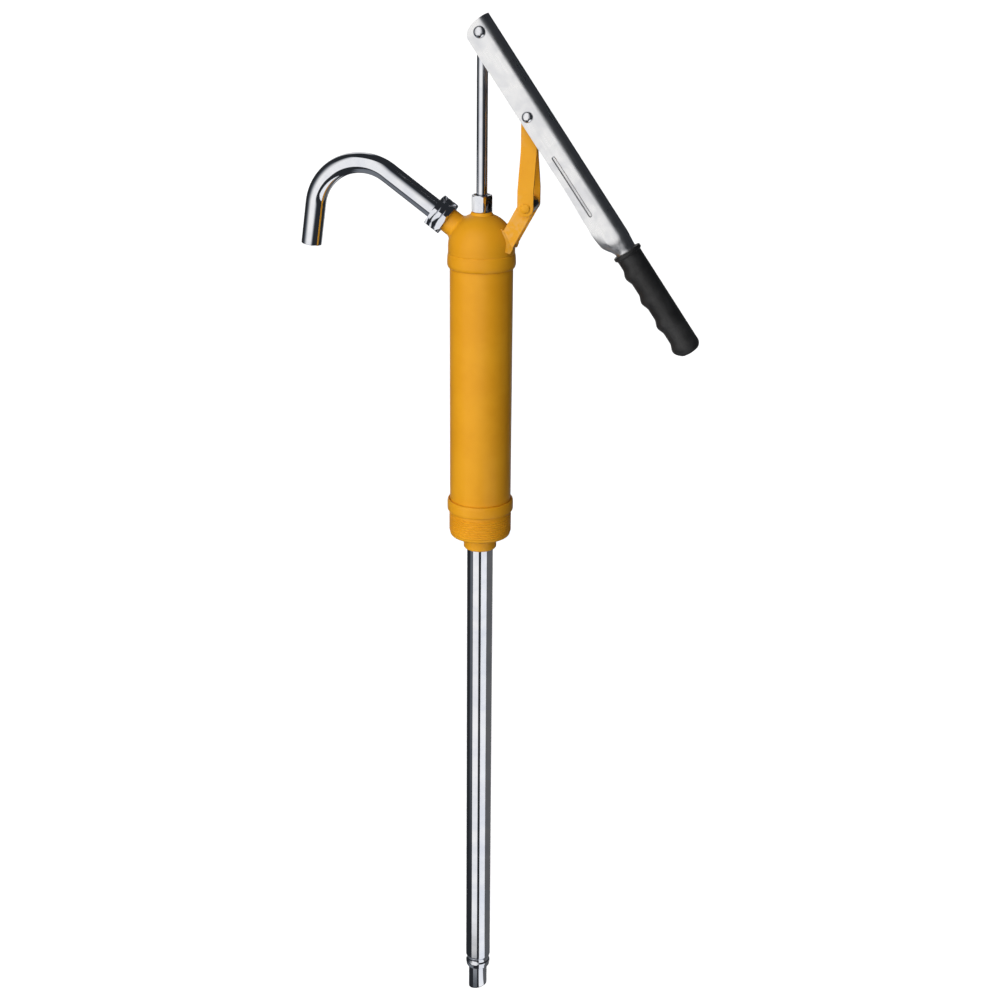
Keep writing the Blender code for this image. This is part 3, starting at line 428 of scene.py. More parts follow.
class Finish:
    """A material and the short calls that build its nodes. Coordinates are in metres."""

    def __init__(self, name):
        self.material = bpy.data.materials.new(name)
        self.material.use_nodes = True
        self.tree = self.material.node_tree
        self.shader = self.tree.nodes["Principled BSDF"]
        self.place = self.node("ShaderNodeTexCoord").outputs["Object"]
        self.lowest_bump = None

    def node(self, kind, **values):
        made = self.tree.nodes.new(kind)
        for key, value in values.items():
            setattr(made, key, value)
        return made

    def join(self, source, target):
        self.tree.links.new(source, target)

    def fixed(self, **values):
        for key, value in values.items():
            self.shader.inputs[key.replace("_", " ")].default_value = value

    def stretched(self, scale, turn=0.0):
        """Coordinates scaled by axis, after a turn about Y."""
        first = self.node("ShaderNodeMapping")
        first.inputs["Rotation"].default_value = (0.0, turn, 0.0)
        second = self.node("ShaderNodeMapping")
        second.inputs["Scale"].default_value = scale
        self.join(self.place, first.inputs["Vector"])
        self.join(first.outputs["Vector"], second.inputs["Vector"])
        return second.outputs["Vector"]

    def noise(self, scale, detail=2.0, rough=0.5, place=None, twist=0.0):
        made = self.node("ShaderNodeTexNoise")
        made.inputs["Scale"].default_value = scale
        made.inputs["Detail"].default_value = detail
        made.inputs["Roughness"].default_value = rough
        made.inputs["Distortion"].default_value = twist
        self.join(place or self.place, made.inputs["Vector"])
        return made.outputs["Fac"]

    def cells(self, scale, feature="F1", place=None):
        made = self.node("ShaderNodeTexVoronoi", feature=feature)
        made.inputs["Scale"].default_value = scale
        self.join(place or self.place, made.inputs["Vector"])
        return made.outputs["Distance"]

    def ranged(self, value, low, high, start, end):
        made = self.node("ShaderNodeMapRange", interpolation_type="SMOOTHSTEP")
        settings = {"From Min": low, "From Max": high, "To Min": start, "To Max": end}
        for key, number in settings.items():
            made.inputs[key].default_value = number
        self.join(value, made.inputs["Value"])
        return made.outputs["Result"]

    def maths(self, operation, a, b):
        made = self.node("ShaderNodeMath", operation=operation)
        for socket, value in zip(made.inputs, (a, b)):
            if isinstance(value, (int, float)):
                socket.default_value = value
            else:
                self.join(value, socket)
        return made.outputs["Value"]

    def blend(self, share, a, b):
        """A colour between two, each a triple or another node's colour."""
        made = self.node("ShaderNodeMix", data_type="RGBA")
        self.join(share, made.inputs["Factor"])
        for socket, value in ((made.inputs[6], a), (made.inputs[7], b)):
            if isinstance(value, tuple):
                socket.default_value = (*value, 1.0)
            else:
                self.join(value, socket)
        return made.outputs[2]

    def colour(self, source):
        self.join(source, self.shader.inputs["Base Color"])

    def rough(self, source):
        self.join(source, self.shader.inputs["Roughness"])

    def bump(self, height, distance, strength=1.0):
        """Adds one layer of relief; distance is the height in metres."""
        made = self.node("ShaderNodeBump")
        made.inputs["Distance"].default_value = distance
        made.inputs["Strength"].default_value = strength
        self.join(height, made.inputs["Height"])
        if self.lowest_bump is not None:
            self.join(self.lowest_bump, made.inputs["Normal"])
        self.lowest_bump = made.outputs["Normal"]
        self.join(self.lowest_bump, self.shader.inputs["Normal"])

    def worn_edges(self, low=0.53, high=0.60):
        """From 0 on flats to 1 on sharp outer edges, broken up by noise."""
        edge = self.node("ShaderNodeNewGeometry").outputs["Pointiness"]
        patchy = self.ranged(self.noise(260.0, 4.0), 0.40, 0.62, 0.0, 1.0)
        return self.maths("MULTIPLY", self.ranged(edge, low, high, 0.0, 1.0), patchy)


def enamel(name, bright, deep):
    """Glossy enamel: orange peel, slow colour drift, dust nibs and thin paint on edges."""
    f = Finish(name)
    drift = f.blend(f.ranged(f.noise(26.0, 3.0), 0.35, 0.65, 0.0, 1.0), bright, deep)
    nibs = f.ranged(f.cells(330.0), 0.035, 0.07, 1.0, 0.0)
    speckled = f.blend(f.maths("MULTIPLY", nibs, 0.35), drift, tuple(c * 0.7 for c in bright))
    thin = f.maths("MULTIPLY", f.worn_edges(), 0.2)
    f.colour(f.blend(thin, speckled, (0.83, 0.55, 0.28)))
    f.rough(f.ranged(f.noise(90.0, 4.0, 0.6), 0.3, 0.7, 0.33, 0.40))
    f.bump(f.noise(620.0, 1.5), 0.00003, 0.45)
    f.bump(f.noise(70.0, 2.0), 0.00010, 0.30)
    f.bump(nibs, 0.00003, 0.5)
    f.fixed(Coat_Weight=0.08, Coat_Roughness=0.12, Specular_IOR_Level=0.14)
    return f.material


def chrome(name, along=(1.0, 1.0, 1.0), turn=0.0, waves=0.00014):
    """Plated steel: drawing lines along one axis, wipe marks and a faint haze."""
    f = Finish(name)
    haze = f.noise(42.0, 5.0, 0.6, twist=0.4)
    f.colour(f.blend(f.ranged(haze, 0.3, 0.7, 0.0, 1.0), (0.80, 0.81, 0.84), (0.68, 0.70, 0.76)))
    lines = f.noise(1500.0, 3.0, 0.6, f.stretched(along, turn))
    wiped = f.ranged(f.noise(120.0, 5.0, 0.65, twist=1.2), 0.45, 0.70, 0.030, 0.065)
    f.rough(f.maths("ADD", wiped, f.ranged(lines, 0.45, 0.75, 0.0, 0.035)))
    f.bump(f.noise(38.0, 1.0), waves, 0.25)
    f.bump(lines, 0.000006, 0.5)
    f.fixed(Metallic=1.0)
    return f.material


def zinc(name, bright, dark, rough=(0.20, 0.34), along=(1.0, 1.0, 1.0), turn=0.0):
    """Bright zinc plate: fine crystals, brushed lines and cloudy patches."""
    f = Finish(name)
    clouds = f.ranged(f.noise(55.0, 5.0, 0.62, twist=0.6), 0.35, 0.68, 0.0, 1.0)
    grains = f.ranged(f.cells(900.0), 0.1, 0.7, 0.0, 1.0)
    share = f.maths("ADD", f.maths("MULTIPLY", clouds, 0.75), f.maths("MULTIPLY", grains, 0.25))
    f.colour(f.blend(share, bright, dark))
    lines = f.noise(900.0, 4.0, 0.6, f.stretched(along, turn))
    f.rough(f.maths("ADD", f.ranged(clouds, 0, 1, *rough), f.ranged(lines, 0.4, 0.8, 0, 0.10)))
    f.bump(lines, 0.000012, 0.45)
    f.bump(f.noise(60.0, 2.0), 0.00010, 0.22)
    f.bump(grains, 0.000006, 0.35)
    f.fixed(Metallic=1.0)
    return f.material


def moulded(name, light, dark, rough, grain, relief, sheen):
    """Rubber, leather or nylon: fine grain, cloudy colour and a dry surface."""
    f = Finish(name)
    clouds = f.ranged(f.noise(48.0, 4.0, 0.6), 0.35, 0.70, 0.0, 1.0)
    pores = f.ranged(f.cells(grain), 0.05, 0.55, 0.0, 1.0)
    f.colour(f.blend(f.maths("MULTIPLY", clouds, pores), dark, light))
    f.rough(f.ranged(f.noise(160.0, 4.0, 0.6), 0.3, 0.7, *rough))
    f.bump(pores, relief, 0.6)
    f.bump(f.noise(grain * 1.7, 3.0, 0.6), relief * 0.6, 0.5)
    f.fixed(Sheen_Weight=sheen, Sheen_Roughness=0.4)
    return f.material


LENGTHWISE = (1.0, 1.0, 0.02)
PAINT = enamel("amber_enamel", (0.88, 0.400, 0.016), (0.83, 0.360, 0.012))
CHROME = chrome("chrome_plate", LENGTHWISE)
CHROME_SPOUT = chrome("chrome_plate_spout", (1.0, 0.05, 1.0))
CHROME_NUT = chrome("chrome_plate_machined", waves=0.00002)
ALONG_LEVER = {"along": LENGTHWISE, "turn": math.pi / 2 - LEVER_LEAN}
LEVER_COLOURS = ((0.85, 0.85, 0.855), (0.79, 0.80, 0.83))
LEVER_STEEL = zinc("zinc_plate_lever", *LEVER_COLOURS, (0.26, 0.36), **ALONG_LEVER)
STEEL = zinc("zinc_plate", (0.70, 0.70, 0.71), (0.50, 0.51, 0.54))
# near-black steel for the bracket's spacer: its dark colour is painted shade, standing for the shadow between the
# ears
SPACER_PAINTED_SHADE = zinc("spacer_steel_painted_shade", (0.10, 0.095, 0.09), (0.04, 0.038, 0.038), (0.18, 0.30))
RIVET = zinc("zinc_plate_rivet", (0.84, 0.84, 0.86), (0.74, 0.75, 0.79), (0.12, 0.20))
BRASS = zinc("machined_brass", (0.78, 0.58, 0.28), (0.62, 0.43, 0.17), (0.22, 0.36))
BLACK = ((0.030, 0.030, 0.032), (0.012, 0.012, 0.013))
RUBBER = moulded("black_rubber", *BLACK, (0.42, 0.60), 1500.0, 0.00005, 0.15)
TAN = ((0.34, 0.17, 0.07), (0.16, 0.075, 0.03))
LEATHER = moulded("cup_leather", *TAN, (0.55, 0.8), 700.0, 0.00012, 0.1)
CREAM = ((0.78, 0.76, 0.69), (0.66, 0.63, 0.55))
NYLON = moulded("white_nylon", *CREAM, (0.35, 0.5), 1100.0, 0.00003, 0.05)
INSIDE = {
    "steel": STEEL,
    "brass": BRASS,
    "rubber": RUBBER,
    "leather": LEATHER,
    "nylon": NYLON,
    "chrome": CHROME,
    "paint": PAINT,
}  # the finish of an inner CAD piece, by its material slot


# ---------------------------------------- head, barrel and gland


def head():
    """The domed head with its neck, skirt and outlet boss, hollow inside."""
    neck_angle = math.degrees(math.acos(SEAT_FOOT_R / DOME_R))
    neck_foot = DOME.z + DOME_R * math.sin(math.radians(neck_angle))
    seat = GLAND_LOW.z - 0.0004
    outside = [(0.0, NECK_TOP)]
    outside += rounded([(0.004, NECK_TOP), (NECK_R, NECK_TOP, 0.0004), (NECK_R, seat)])[1:]
    ledge = [(NECK_R + 0.0002, seat), (SEAT_R, seat, 0.0005), (SEAT_FOOT_R, neck_foot)]
    outside += rounded(ledge)[:-1]
    outside += arc((0.0, DOME.z), DOME_R, neck_angle, 0, 40)
    outside += rounded(
        [
            (DOME_R, 0.2545),
            (DOME_R, 0.2507, 0.0004),
            (0.0305, 0.2502, 0.0003),
            (0.0311, 0.2494, 0.0006),
            (0.0315, 0.2460, 0.0012),
            (0.0317, 0.2420, 0.0014),
            (0.0315, 0.2390, 0.0012),
            (0.0308, 0.2372, 0.0008),
            (0.0302, SKIRT_BOTTOM, 0.0003),
            (0.0290, SKIRT_BOTTOM),
        ]
    )
    outside += [(0.0, SKIRT_BOTTOM)]
    made = turned("head_casting", outside, sides=160)
    sphere_r = DOME_R + 0.00003
    root = (sphere_r * math.sin(BOSS_SPREAD), sphere_r * math.cos(BOSS_SPREAD))
    boss = rounded(
        [
            (0.004, OUTLET_END),
            (OUTLET_THREAD_R, OUTLET_END, 0.0006),
            (OUTLET_THREAD_R, OUTLET_SHOULDER, 0.0003),
            (OUTLET_R, OUTLET_SHOULDER, 0.0005),
            (OUTLET_R + 0.0001, 0.0300, 0.0012),
            (*root, 0.0),
            (root[0] * 0.97, root[1] * 0.97),
        ],
        count=8,
    )
    boss = [(0.0, OUTLET_END)] + boss[1:] + [(0.0, root[1] * 0.97)]
    join(made, turned("boss", boss, OUTLET_PLACE, 128))
    hollow_r, hollow_top = NECK_HOLLOW
    hollow_angle = math.degrees(math.acos(hollow_r / DOME_INNER_R))
    hollow = [(0.0, hollow_top), (hollow_r, hollow_top)]
    hollow += arc((0.0, DOME.z), DOME_INNER_R, hollow_angle, 0, 16)
    skirt_r = BARREL_R + GAP
    hollow += [(DOME_INNER_R, SHOULDER_Z), (skirt_r, SHOULDER_Z), (skirt_r, 0.2300), (0.0, 0.2300)]
    cut(made, turned("hollow", hollow, sides=160))
    drilled(made, NECK_BORE_R, 0.2600, 0.3100)
    drilled(made, OUTLET_BORE_R, 0.0200, 0.0600, OUTLET_PLACE)
    piece(made, "barrel", PAINT, "paint", "head_dome", crease=28)


def barrel():
    low, high = BARREL_LOW.z, BARREL_HIGH.z
    tube = ring("barrel_shell", BARREL_BORE_R, BARREL_R, low, high, sides=160)
    piece(tube, "barrel", PAINT, "paint", "barrel_tube")


def nut(name, across_flats, corner, envelope, bore, place=None):
    """A hexagon bar crossed with a turned envelope, with softened edges."""
    low = min(z for _, z in envelope) - 0.01
    high = max(z for _, z in envelope) + 0.01
    radius = across_flats / math.sqrt(3)
    rows = []
    for z in (low, high):
        row = []
        for i in range(6):
            angle = math.radians(corner + 60 * i)
            row.append((radius * math.cos(angle), radius * math.sin(angle), z))
        rows.append(row)
    made = lofted(name, rows, place)
    cross(made, turned("envelope", envelope, place, 120))
    bevelled(made, 0.00018)
    return cut(made, turned("bore", bore, place))


def gland():
    corner = GLAND_AF / math.sqrt(3)
    low, high = GLAND_LOW.z, GLAND_HIGH.z
    envelope = [
        (0.0, high),
        (corner * 0.88, high),
        (corner * 1.01, high - 0.0012),
        (corner * 1.01, low + 0.0010),
        (corner * 0.90, low),
        (0.0, low),
    ]
    rod_bore = ROD_R + 0.0004
    packing_top = NECK_TOP + GAP + PACKING_HEIGHT
    nut_bore = NECK_R + 0.0002
    bore = [(0.0, high + CUT_PAST), (GLAND_MOUTH_R, high + CUT_PAST)]
    bore += rounded(
        [
            (GLAND_MOUTH_R, high + 0.0002),
            (GLAND_WIPER_R, high - 0.0005, 0.0004),
            (GLAND_WIPER_R, high - 0.0018, 0.0006),
            (rod_bore, high - 0.0022, 0.0002),
            (rod_bore, packing_top + GAP),
        ]
    )
    bore += [(nut_bore, packing_top + GAP), (nut_bore, low - CUT_PAST), (0.0, low - CUT_PAST)]
    made = nut("gland_hex", GLAND_AF, GLAND_CORNER, envelope, bore)
    piece(made, "barrel", CHROME_NUT, "chrome", "gland_nut", crease=20)


def union():
    start, end, collar = UNION
    corner = UNION_AF / math.sqrt(3) * 1.01
    groove = UNION_AF / 2 + 0.0003
    floor, mouth = GROOVE
    envelope = [(0.0, end), (corner * 0.90, end), (corner, end - 0.0014)]
    for share in (2 / 3, 1 / 3):
        middle = mix(start, end, share)
        envelope += [(corner, middle + mouth), (groove, middle + floor)]
        envelope += [(groove, middle - floor), (corner, middle - mouth)]
    envelope += [(corner, start + 0.0014), (corner * 0.90, start), (0.0, start)]
    cavity = OUTLET_THREAD_R + GAP
    collar_r = SPOUT_R + GAP
    bore = [(0.0, end + CUT_PAST), (collar_r + 0.0012, end + CUT_PAST)]
    lip = [(collar_r + 0.0009, end + 0.0002), (collar_r, end - 0.0008, 0.0005)]
    bore += rounded([*lip, (collar_r, collar)])
    bore += [(cavity, collar), (cavity, start - CUT_PAST), (0.0, start - CUT_PAST)]
    made = nut("union_hex", UNION_AF, UNION_CORNER, envelope, bore, OUTLET_PLACE)
    piece(made, "barrel", CHROME_NUT, "chrome", "union_nut", crease=20)


def ear(name, side, node):
    """One bracket ear, with the foot bent out onto the dome."""
    down = (EAR_BASE - PIVOT_C).normalized()
    heading = math.degrees(math.atan2(down.z, down.x))
    outline = arc((PIVOT_C.x, PIVOT_C.z), EAR_END_R, heading + 90, heading + 270, 40)
    edge = Vector((-down.z, 0.0, down.x)) * EAR_END_R
    low = EAR_BASE + down * EAR_PAST_BASE
    outline += [(low.x - edge.x, low.z - edge.z), (low.x + edge.x, low.z + edge.z)]
    near, far = sorted((side * EAR_INNER, side * EAR_OUTER))
    made = plate(name, outline, near, far)
    corners = [Vector((x, side * y, z)) for x, y, z in FOOT_CORNERS]
    inward = FOOT_DEPTH * Vector((1.0, side, 1.0))
    join(made, hull("foot", corners + [c + inward for c in corners]))
    cut(made, ball("dome_space", FOOT_INNER_R, DOME))
    skirt = [(0.0, DOME.z), (FOOT_INNER_R, DOME.z), (FOOT_INNER_R, 0.2450), (0.0, 0.2450)]
    cut(made, turned("skirt_space", skirt, sides=128))
    drilled(made, RIVET_R + 0.0001, -0.03, 0.03, across(PIVOT_C), 48)
    bevelled(made, 0.00035)
    piece(made, "barrel", PAINT, "paint", node, crease=14)


# ---------------------------------------- spout


def spout_point(radius, angle, along):
    """A point of the spout's skin, in the outlet's frame, `along` the tube's centreline."""
    straight = SPOUT_BEND_START - SPOUT_START
    turned_by = min(SPOUT_BEND, max(0.0, (along - straight) / SPOUT_BEND_R))
    centre = Vector((0.0, 0.0, SPOUT_START + min(along, straight)))
    centre.x -= SPOUT_BEND_R * (1 - math.cos(turned_by))
    centre.z += SPOUT_BEND_R * math.sin(turned_by)
    heading = Vector((-math.sin(turned_by), 0.0, math.cos(turned_by)))
    centre += heading * max(0.0, along - straight - SPOUT_BEND * SPOUT_BEND_R)
    outward = Vector((math.cos(turned_by), 0.0, math.sin(turned_by)))
    sideways = Vector((0.0, radius * math.sin(angle), 0.0))
    return centre + outward * radius * math.cos(angle) + sideways


def rim(outer, inner, end, rounding, inset):
    """The rounded rim of a pipe that ends at a height, from its outer wall to its inner."""
    corners = [(outer, end, rounding), (inner, end, rounding)]
    return rounded([(outer, end + inset), *corners, (inner, end + inset)])


def spout():
    length = SPOUT_BEND_START - SPOUT_START + SPOUT_BEND * SPOUT_BEND_R + SPOUT_LEG
    inner = SPOUT_R - SPOUT_WALL
    profile = [(SPOUT_R, s) for s in steps(0.0, length - SPOUT_RIM, 110)]
    profile += rim(SPOUT_R, inner, length, 0.0004, 0.0001 - SPOUT_RIM)
    profile += [(inner, s) for s in steps(length - 0.001, 0.0, 60)]
    made = turned("spout_pipe", profile, OUTLET_PLACE, 96, where=spout_point)
    piece(made, "spout", CHROME_SPOUT, "chrome", "spout_tube", crease=40)


# ---------------------------------------- adapter and suction


def thread_radius(angle, radius, z):
    """Winds the pipe thread round the rows that lie on its pitch line."""
    if abs(radius - THREAD_ROOT_R) > ON_AXIS or not THREAD_END < z < THREAD_START:
        return radius
    turn = (THREAD_START - z) / THREAD_PITCH + angle / (2 * math.pi)
    share = abs((turn % 1.0) * 2 - 1)
    crest = smooth_step(0.10, 0.80, share)
    fade = smooth_step(THREAD_START, THREAD_START - THREAD_RUN_IN, z)
    fade *= smooth_step(THREAD_END, THREAD_END + THREAD_RUN_OUT, z)
    return radius + (THREAD_R - THREAD_ROOT_R) * crest * fade


def adapter():
    outside = rounded(
        [
            (0.0297, FLANGE_TOP - 0.0010),
            (0.0301, FLANGE_TOP, 0.0004),
            (0.0308, FLANGE_TOP - 0.0002, 0.0005),
            (0.0313, FLANGE_TOP - 0.0010, 0.0008),
            (FLANGE_R, FLANGE_TOP - 0.0030, 0.0012),
            (FLANGE_R, 0.0020, 0.0008),
            (0.0315, 0.0006, 0.0004),
            (0.0312, 0.0, 0.0003),
            (THREAD_ROOT_R + 0.0001, 0.0, 0.0004),
            (THREAD_ROOT_R, -0.0012),
        ]
    )[1:]
    outside += [(THREAD_ROOT_R, z) for z in steps(THREAD_START, THREAD_END, 180)]
    outside += rounded(
        [
            (THREAD_ROOT_R, -0.0240),
            (THREAD_ROOT_R - 0.0002, ADAPTER_BOTTOM + 0.0012, 0.0006),
            (THREAD_ROOT_R - 0.0014, ADAPTER_BOTTOM, 0.0006),
            (BOSS_R, ADAPTER_BOTTOM, 0.0012),
            (BOSS_R, BOSS_BOTTOM + 0.0012, 0.0006),
            (BOSS_R - 0.0010, BOSS_BOTTOM, 0.0004),
            (TUBE_R + GAP, BOSS_BOTTOM, 0.0004),
            (TUBE_R + GAP, BOSS_BOTTOM + 0.004),
        ]
    )[1:]
    port_top = TUBE_HIGH.z + GAP
    inside = [
        (TUBE_R + GAP, port_top),
        (PORT_R, port_top),
        (PORT_R, BOWL_FLOOR),
        (BOWL_R - 0.0010, BOWL_FLOOR),
        (BOWL_R, BOWL_FLOOR + 0.0010),
        (BOWL_R, 0.0),
        (BARREL_BORE_R - GAP, 0.0020),
        (BARREL_R + GAP, 0.0020),
        (BARREL_R + GAP, FLANGE_TOP - 0.0010),
    ]
    made = turned("bung_fitting", outside + inside, sides=192, shape=thread_radius)
    piece(made, "barrel", PAINT, "paint", "bung_adapter", crease=40)


def suction():
    """The long tube with the rolled bead at its end, and the tube that slides in it."""
    low, top = TUBE_LOW.z, TUBE_HIGH.z
    bore_r = TUBE_R - TUBE_WALL
    bead = rounded(
        [
            (TUBE_R, low + 0.0142),
            (TUBE_R, low + 0.0132, 0.0006),
            (0.0113, low + 0.0106, 0.0012),
            (0.0113, low + 0.0074, 0.0008),
            (0.0124, low + 0.0064, 0.0010),
            (0.0126, low + 0.0048, 0.0012),
            (0.0122, low + 0.0026, 0.0010),
            (0.0119, low + 0.0004, 0.0005),
            (0.0116, low, 0.0003),
            (0.0103, low, 0.0003),
            (0.0103, low + 0.0108, 0.0010),
            (bore_r, low + 0.0130, 0.0010),
            (bore_r, low + 0.0140),
        ],
        count=6,
    )
    profile = [(TUBE_R, z) for z in steps(top, low + 0.0145, 24)] + bead
    profile += [(bore_r, z) for z in steps(low + 0.0145, top, 12)]
    outer = turned("suction_pipe", profile, sides=96)
    piece(outer, "barrel", CHROME, "chrome", "suction_tube_outer", crease=40)

    def slanted(radius, angle, z):
        """Slides the last millimetres of the tube onto the slanted cut."""
        x = radius * math.cos(angle)
        share = smooth_step(INNER_END + 0.02, INNER_END + 0.0005, z)
        return (x, radius * math.sin(angle), z + share * x * math.tan(INNER_CUT))

    inner_r = INNER_R - INNER_WALL
    loop = [(INNER_R, z) for z in steps(INNER_HIGH.z, INNER_END + 0.022, 8)]
    loop += [(INNER_R, z) for z in steps(INNER_END + 0.02, INNER_END + 0.001, 16)]
    loop += rim(INNER_R, inner_r, INNER_END, 0.0003, 0.0008)
    loop += [(inner_r, z) for z in steps(INNER_END + 0.001, INNER_END + 0.02, 16)]
    loop += [(inner_r, INNER_HIGH.z)]
    tube = turned("suction_drop_pipe", loop, sides=96, where=slanted)
    piece(tube, "suction_inner", CHROME, "chrome", "suction_tube_inner", crease=40)


# ---------------------------------------- rod and pins


def rod():
    low, top = ROD_LOW.z, ROD_HIGH.z
    thread, shoulder = ROD_THREAD
    profile = rounded(
        [
            (0.0, top),
            (ROD_R, top, 0.0006),
            (ROD_R, shoulder, 0.0003),
            (thread, shoulder, 0.0002),
            (thread, low, 0.0006),
            (0.0, low),
        ]
    )
    piece(turned("rod_shaft", profile), "rod", CHROME, "chrome", "piston_rod")
    eye = [(0.0, EYE_HALF), (EYE_R, EYE_HALF, 0.0006), (EYE_R, -EYE_HALF, 0.0006), (0.0, -EYE_HALF)]
    made = turned("rod_end", rounded(eye), across(PIVOT_A))
    radius, bottom, crown = EYE_SOCKET[0], PIVOT_A.z + EYE_SOCKET[1], PIVOT_A.z + EYE_SOCKET[2]
    socket = [(0.0, crown), (radius, crown), (radius, bottom, 0.0006), (0.0, bottom)]
    join(made, turned("socket", rounded(socket)))
    drilled(made, ROD_R + 0.0002, PIVOT_A.z - 0.03, top + GAP)
    drilled(made, PIN_R + 0.0001, -0.02, 0.02, across(PIVOT_A))
    piece(made, "rod", STEEL, "steel", "rod_eye")


def rivet_half(head, shank, face):
    """(radius, height) from the head's pole down to its shank, for a plate with its face
    at that height. The head is a low dome with a rounded rim."""
    radius, height = head
    base = face + GAP
    shoulder = base + height * HEAD_RIM
    crown = height * (1 - HEAD_RIM)
    leans = [math.radians(a) for a in steps(0, 84, 18)]
    dome = [(radius * math.sin(a), shoulder + crown * math.cos(a)) for a in leans]
    side = [(radius, shoulder, 0.0002), (radius, base, 0.00015), (shank, base)]
    return dome + rounded([dome[-1], *side])[1:]


def pins():
    inner = LEVER_HALF - LEVER_WALL
    half = rivet_half(ROD_PIN_HEAD, PIN_R, LEVER_HALF)
    whole = half + [(r, -z) for r, z in reversed(half)]
    piece(turned("lever_rivet_top", whole, across(PIVOT_A), 64), "lever", RIVET, "chrome", "rod_pin")
    half = rivet_half(FULCRUM_HEAD, PIN_R, LEVER_HALF)
    half += [(PIN_R, inner + PIN_SLIP), (0.0, inner + PIN_SLIP)]
    for name, side, node in (
        ("lever_rivet_front", -1, "fulcrum_rivet_front"),
        ("lever_rivet_rear", 1, "fulcrum_rivet_rear"),
    ):
        made = turned(name, half, across(PIVOT_B, side), 64)
        piece(made, "lever", RIVET, "chrome", node)
    half = rivet_half(BRACKET_HEAD, RIVET_R, STRAP_LOWER_Y + STRAP_THICK / 2)
    whole = half + [(r, -z) for r, z in reversed(half)]
    piece(turned("link_rivet", whole, across(PIVOT_C), 64), "link", PAINT, "paint", "bracket_rivet")
    pin_bore, rivet_bore = PIN_R + PIN_SLIP, RIVET_R + PIN_SLIP
    rod_spacers = ("rod_pin_spacer_front", "rod_pin_spacer_rear")
    fulcrum_spacers = ("fulcrum_spacer_front", "fulcrum_spacer_rear")
    for name, bore, at, body, finish, nodes in (
        ("rod_spacer", pin_bore, PIVOT_A, "lever", STEEL, rod_spacers),
        ("fulcrum_collar", pin_bore, PIVOT_B, "link", STEEL, fulcrum_spacers),
        ("fulcrum_washer", pin_bore, PIVOT_B, "link", STEEL, ("link_upper_washer",)),
        # the spacer between the ears gets the near-black finish, painted shade
        ("bracket_bush", rivet_bore, PIVOT_C, "link", SPACER_PAINTED_SHADE, ("bracket_spacer",)),
    ):
        place = across(Vector((at.x, 0.0, at.z)))
        for node in nodes:
            lowest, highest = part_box(node)
            outer = (highest.z - lowest.z) / 2
            label = name if len(nodes) == 1 else name + node[node.rindex("_"):]
            made = ring(label, bore, outer, lowest.y, highest.y, place, 0.0003, 64)
            piece(made, body, finish, "steel", node)
    lowest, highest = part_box("fulcrum_pin")
    outline = [(0.0, highest.y), (PIN_R, highest.y, 0.0005), (PIN_R, lowest.y, 0.0005), (0.0, lowest.y)]
    made = turned("fulcrum_shaft", rounded(outline), across(PIVOT_B), 64)
    piece(made, "link", STEEL, "steel", "fulcrum_pin")


# ---------------------------------------- lever and grip


def lever_half(x, count=16):
    """Half of the lever's outer skin at x, from its free edge to the middle of the web."""
    flat = LEVER_EDGE
    if x < 0.0:
        rise = math.sqrt(max(0.0, 1 - (x / LEVER_START) ** 2))
        flat = mix(LEVER_WEB - LEVER_CORNER_R, LEVER_EDGE, rise)
    flat -= LEVER_DEEPER * smooth_step(*LEVER_DEEPER_X, x)
    curl = LEVER_CURL * smooth_step(*LEVER_CURL_X, x)
    channel = []
    for z in steps(flat, LEVER_WEB - LEVER_CORNER_R, count)[:-1]:
        below = max(0.0, LEVER_CURL_Z - z)
        channel.append((-LEVER_HALF + below * math.sin(curl), z + below * (1 - math.cos(curl))))
    corner = (-LEVER_HALF + LEVER_CORNER_R, LEVER_WEB - LEVER_CORNER_R)
    channel += arc(corner, LEVER_CORNER_R, 180, 90, 12)
    channel += [(y, LEVER_WEB) for y in (-0.0036, -0.0018, 0.0)]
    tube = arc((0.0, LEVER_TUBE_Z), LEVER_TUBE_R, -108, -270, len(channel) - 1)
    rolled = smooth_step(LEVER_ROLL_X, LEVER_TUBE[0] - 0.0008, x) ** 1.5
    return [(mix(a[0], b[0], rolled), mix(a[1], b[1], rolled)) for a, b in zip(channel, tube)]


def lever_row(x):
    """The channel's closed section at x: its outer skin, and back along its inner one."""
    half = lever_half(x)
    skin = [Vector(p) for p in half] + [Vector((-y, z)) for y, z in reversed(half[:-1])]
    inner = []
    for i, here in enumerate(skin):
        along = skin[min(i + 1, len(skin) - 1)] - skin[max(i - 1, 0)]
        inner.append(here + Vector((-along.y, along.x)).normalized() * -LEVER_WALL)
    wall = [(x, p.x, p.y) for p in skin]
    return wall + [(x, p.x, p.y) for p in reversed(inner)]


def lever():
    """The pressed channel, rolled to a tube inside the grip, with its slot cut through."""
    stations = [LEVER_START * math.sin(math.radians(a)) for a in steps(90, 0, 14)]
    stations += steps(0.0, LEVER_CURL_X[0], 24)[1:] + steps(*LEVER_CURL_X, 34)[1:]
    stations += steps(LEVER_CURL_X[1], LEVER_TUBE[0], 22)[1:] + steps(*LEVER_TUBE, 6)[1:]
    made = lofted("lever_arm", [lever_row(x) for x in stations], LEVER_PLACE)
    start, end, height, width = SLOT
    middles = [start + width / 2, end - width / 2]

    def slot_row(radius, y):
        outline = arc((middles[0], height), radius, 90, 270, 20)
        outline += arc((middles[1], height), radius, -90, 90, 20)
        return [(x, y, z) for x, z in outline]

    narrow = width / 2 - SLOT_EDGE
    rows = [slot_row(width / 2 + 0.0002, -LEVER_HALF - 0.0002)]
    rows += [slot_row(narrow, -LEVER_HALF + SLOT_EDGE), slot_row(narrow, LEVER_HALF + CUT_PAST)]
    cut(made, lofted("slot", rows, LEVER_PLACE))
    bevelled(made, 0.0003, 50)
    piece(made, "lever", LEVER_STEEL, "steel", "lever_channel", crease=34)


